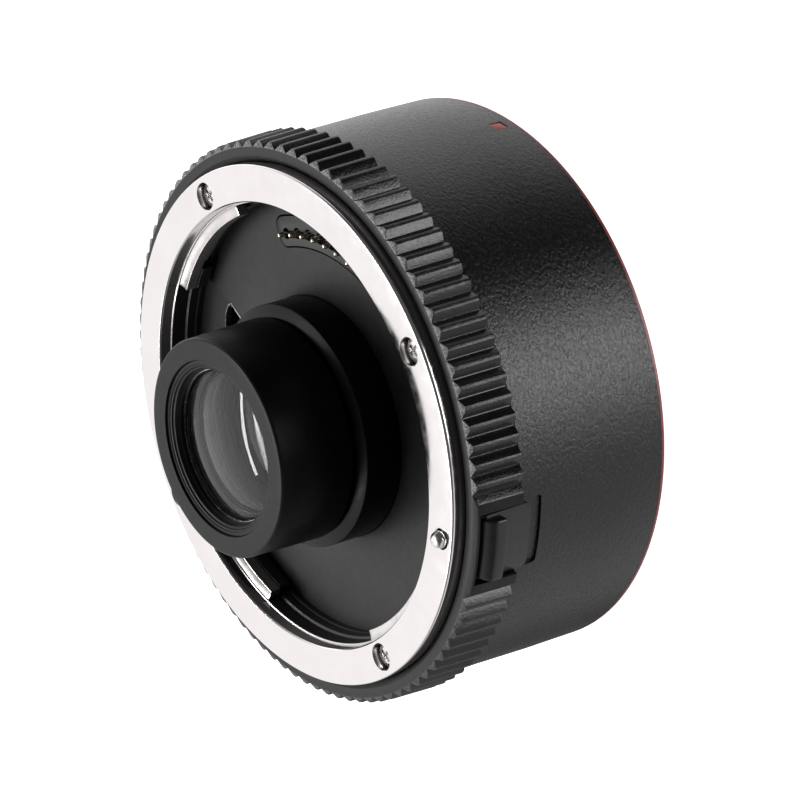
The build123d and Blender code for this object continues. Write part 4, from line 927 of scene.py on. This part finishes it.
def lens_tube():
    """The collar, the tube in front of it and the stepped ring that holds the glass."""
    outline = [
        (12.65, 22.5), (17.0, 22.5), (17.0, 23.55), (14.9, 23.55), (14.9, 29.3, 0.12), (13.45, 29.8, 0.06),
        (12.65, 29.8),
    ]
    collar = turned("tube_collar", rounded(outline))
    dress(collar, COLLAR_SHADED_BLACK, "lens_tube_collar")
    outline = [
        (10.0, 22.0), (12.6, 22.0), (12.6, 30.5), (13.6, 30.5, 0.08), (13.35, 40.4, 0.4), (10.7, 40.4, 0.12),
        (10.7, 36.6), (10.0, 36.6),
    ]
    tube = turned("nose_tube", rounded(outline, steps=5))
    side_radius, side_slope = 12 * MM, 0.3

    # The outer side takes the darker copy, painted shade
    def is_shaded_side(polygon):
        return int(abs(polygon.normal.z) < side_slope and polygon.center.xy.length > side_radius)

    paint(tube, (TUBE, TUBE_SIDE_SHADE), is_shaded_side)
    dress(tube, None, "front_lens_tube")
    outline = [
        (9.3, 38.6), (9.9, 38.45), (10.67, 38.45), (10.67, 40.1, 0.05), (10.25, 40.1, 0.04),
        (10.18, 39.98, 0.03), (9.98, 39.95, 0.05), (9.85, 39.75, 0.04), (9.64, 39.68, 0.05),
        (9.56, 39.5, 0.04), (9.46, 39.25, 0.05), (9.3, 39.05, 0.05),
    ]
    ring = turned("glass_retainer", rounded(outline))
    edge = turned("glass_edge", box_outline(9.22, 9.32, 38.6, 38.67))
    ring = two_tone("glass_retainer", ring, edge, TUBE, STEEL)
    dress(ring, None, "front_retaining_ring")


def drop(distance, rim, sag):
    """How far a spherical surface has fallen from its vertex at a distance from the axis."""
    curve = (rim**2 + sag**2) / (2 * sag)
    return curve - (1 if sag > 0 else -1) * sqrt(curve**2 - distance**2)


def lenses():
    """A turned piece with two spherical surfaces for each glass."""
    rings = 20
    for node, (rim, front, front_sag, rear, rear_sag) in ELEMENTS.items():
        radii = [rim * step / rings for step in range(rings + 1)]
        low = [(r, rear + drop(r, rim, rear_sag)) for r in radii]
        high = [(r, front - drop(r, rim, front_sag)) for r in reversed(radii)]
        piece = solid_disc(f"{node}_glass", low + high, steps=128, sharp=40)
        dress(piece, GLASS, node)


# Release slider

def slider():
    """The slider's plate with its finger ridge in front and its foot in the barrel's slot."""
    outline = [(33.58, SLIDER_REAR_Z), (34.2, SLIDER_REAR_Z), (34.2, 26.9), (33.7, 27.7), (33.58, 27.7)]
    plate = lock_sector("slider_plate", outline, 7.05, 16)
    round_ends(plate, SLIDER_REAR_Z, 0.8)
    outline = [(33.7, 24.9), (35.6, 24.9), (35.6, 26.45), (35.0, 27.1), (34.2, 27.6), (33.7, 27.65)]
    ridge = bevel(lock_sector("slider_ridge", outline, 6.45, 16), 0.26, 4)
    combine(plate, ridge, "UNION")
    combine(plate, prism("slider_foot", spoke_box(LOCK_ANGLE, 31.65, 33.9, 5.0), 22.0, 25.0), "UNION")
    bevel(plate, 0.13, 3)
    dress(plate, SLIDER, "release_slider", body="lens_release")


front_ring()
front_screws()
lock_pin()
grip_ring()
barrel()
throat()
contact_block()
lens_tube()
lenses()
slider()

# CAD nodes that stay
PIN_NODES = [f"contact_pin_{number:02d}" for number in range(1, CONTACT_COUNT + 1)]
KEPT = {
    CHROME: ["rear_bayonet_ring"],
    STEEL: ["rear_mount_screws", "board_screws", "slider_screws"],
    SPRING: ["bayonet_leaf_spring", "lock_spring", "contact_pin_springs", "flange_shim"],
    INNER: ["light_stop", "rear_lens_cell", "rear_retaining_ring", "rear_light_baffle"],
    # The spacers take the black with painted ring highlights
    RINGED_HIGHLIGHTS: ["front_spacer", "middle_spacer", "rear_spacer"],
    MOULDING: ["rear_contact_block"],
    FRAME_METAL: ["inner_chassis", "slider_carrier"],
    GOLD: ["rear_contact_pads", "contact_pin_sleeves"] + PIN_NODES,
    BOARD: ["main_circuit_board"],
    CHIP: ["board_chips"],
    FLEX: ["front_contact_flex", "rear_contact_flex"],
}
for material, names in KEPT.items():
    for name in names:
        nodes[name].data.materials.clear()
        nodes[name].data.materials.append(material)


# Floor, world, lights and camera

def floor():
    """A white floor that the camera sees and that the object doesn't mirror."""
    side = FLOOR_CELLS + 1
    marks = [-FLOOR_HALF + 2 * FLOOR_HALF * mark / FLOOR_CELLS for mark in range(side)]
    points = [(x, y, FLOOR_Z) for y in marks for x in marks]
    corners = [row * side + column for row in range(FLOOR_CELLS) for column in range(FLOOR_CELLS)]
    faces = [(first, first + 1, first + side + 1, first + side) for first in corners]
    plane = build("floor", points, faces)
    look = Look("floor_white", grey(0.92), 0.7, emission_color=(1, 1, 1, 1), emission_strength=1.0)
    look.color(look.noise(60), grey(0.90), grey(0.94))
    plane.data.materials.append(look.material)
    plane.visible_glossy = False
    plane.visible_diffuse = False
    plane.visible_transmission = False


def direction(azimuth, elevation):
    """The unit vector towards an azimuth and an elevation in degrees."""
    side, rise = radians(azimuth), radians(elevation)
    return Vector((cos(side) * cos(rise), sin(side) * cos(rise), sin(rise)))


def world():
    """Soft areas of light round the object, and a white backdrop for the camera alone."""
    studio = bpy.data.worlds.new("studio")
    scene.world = studio
    studio.use_nodes = True
    tree = Tree(studio.node_tree)
    place = tree.add("ShaderNodeTexCoord").outputs["Generated"]
    total = DIM
    for azimuth, elevation, core, reach, strength in LIT_AREAS:
        aim = {0: place, 1: direction(azimuth, elevation)}
        towards = tree.add("ShaderNodeVectorMath", aim, operation="DOT_PRODUCT").outputs["Value"]
        inputs = {
            "Value": towards, "From Min": cos(radians(reach)), "From Max": cos(radians(core)),
            "To Max": strength,
        }
        fade = tree.add("ShaderNodeMapRange", inputs, interpolation_type="SMOOTHSTEP")
        total = tree.math("ADD", fade.outputs["Result"], total)
    seen = tree.add("ShaderNodeLightPath").outputs["Is Camera Ray"]
    back = studio.node_tree.nodes["Background"]
    back.inputs["Color"].default_value = (1, 1, 1, 1)
    studio.node_tree.links.new(tree.math("MAXIMUM", total, seen), back.inputs["Strength"])


def softbox(name, azimuth, elevation, size, power):
    """A soft rectangular light, of a size in millimetres, that faces the front of the object."""
    data = bpy.data.lights.new(name, "AREA")
    data.shape = "RECTANGLE"
    data.size, data.size_y = size[0] * MM, size[1] * MM
    data.energy = power
    lamp = bpy.data.objects.new(name, data)
    scene.collection.objects.link(lamp)
    spot = (LAMP_TARGET + LAMP_DISTANCE * direction(azimuth, elevation)) * MM
    lamp.location = spot
    lamp.rotation_mode = "QUATERNION"
    lamp.rotation_quaternion = (LAMP_TARGET * MM - spot).to_track_quat("-Z", "Y")
    lamp.visible_camera = False


def camera():
    """The camera of the photo."""
    data = bpy.data.cameras.new("camera")
    data.lens, data.sensor_width = FOCAL_LENGTH, SENSOR_WIDTH
    data.clip_start, data.clip_end = 0.01, 100.0
    view = bpy.data.objects.new("camera", data)
    scene.collection.objects.link(view)
    right, back = Vector(CAMERA_RIGHT).normalized(), Vector(CAMERA_BACK).normalized()
    up = back.cross(right).normalized()
    right = up.cross(back).normalized()
    placing = Matrix((right, up, back)).transposed().to_4x4()
    placing.translation = Vector(CAMERA_PLACE)
    view.matrix_world = placing
    scene.camera = view


floor()
world()
softbox("strip", 208, 64, (420, 50), 0.9)
softbox("glint", 196, 53, (280, 14), 0.3)
camera()
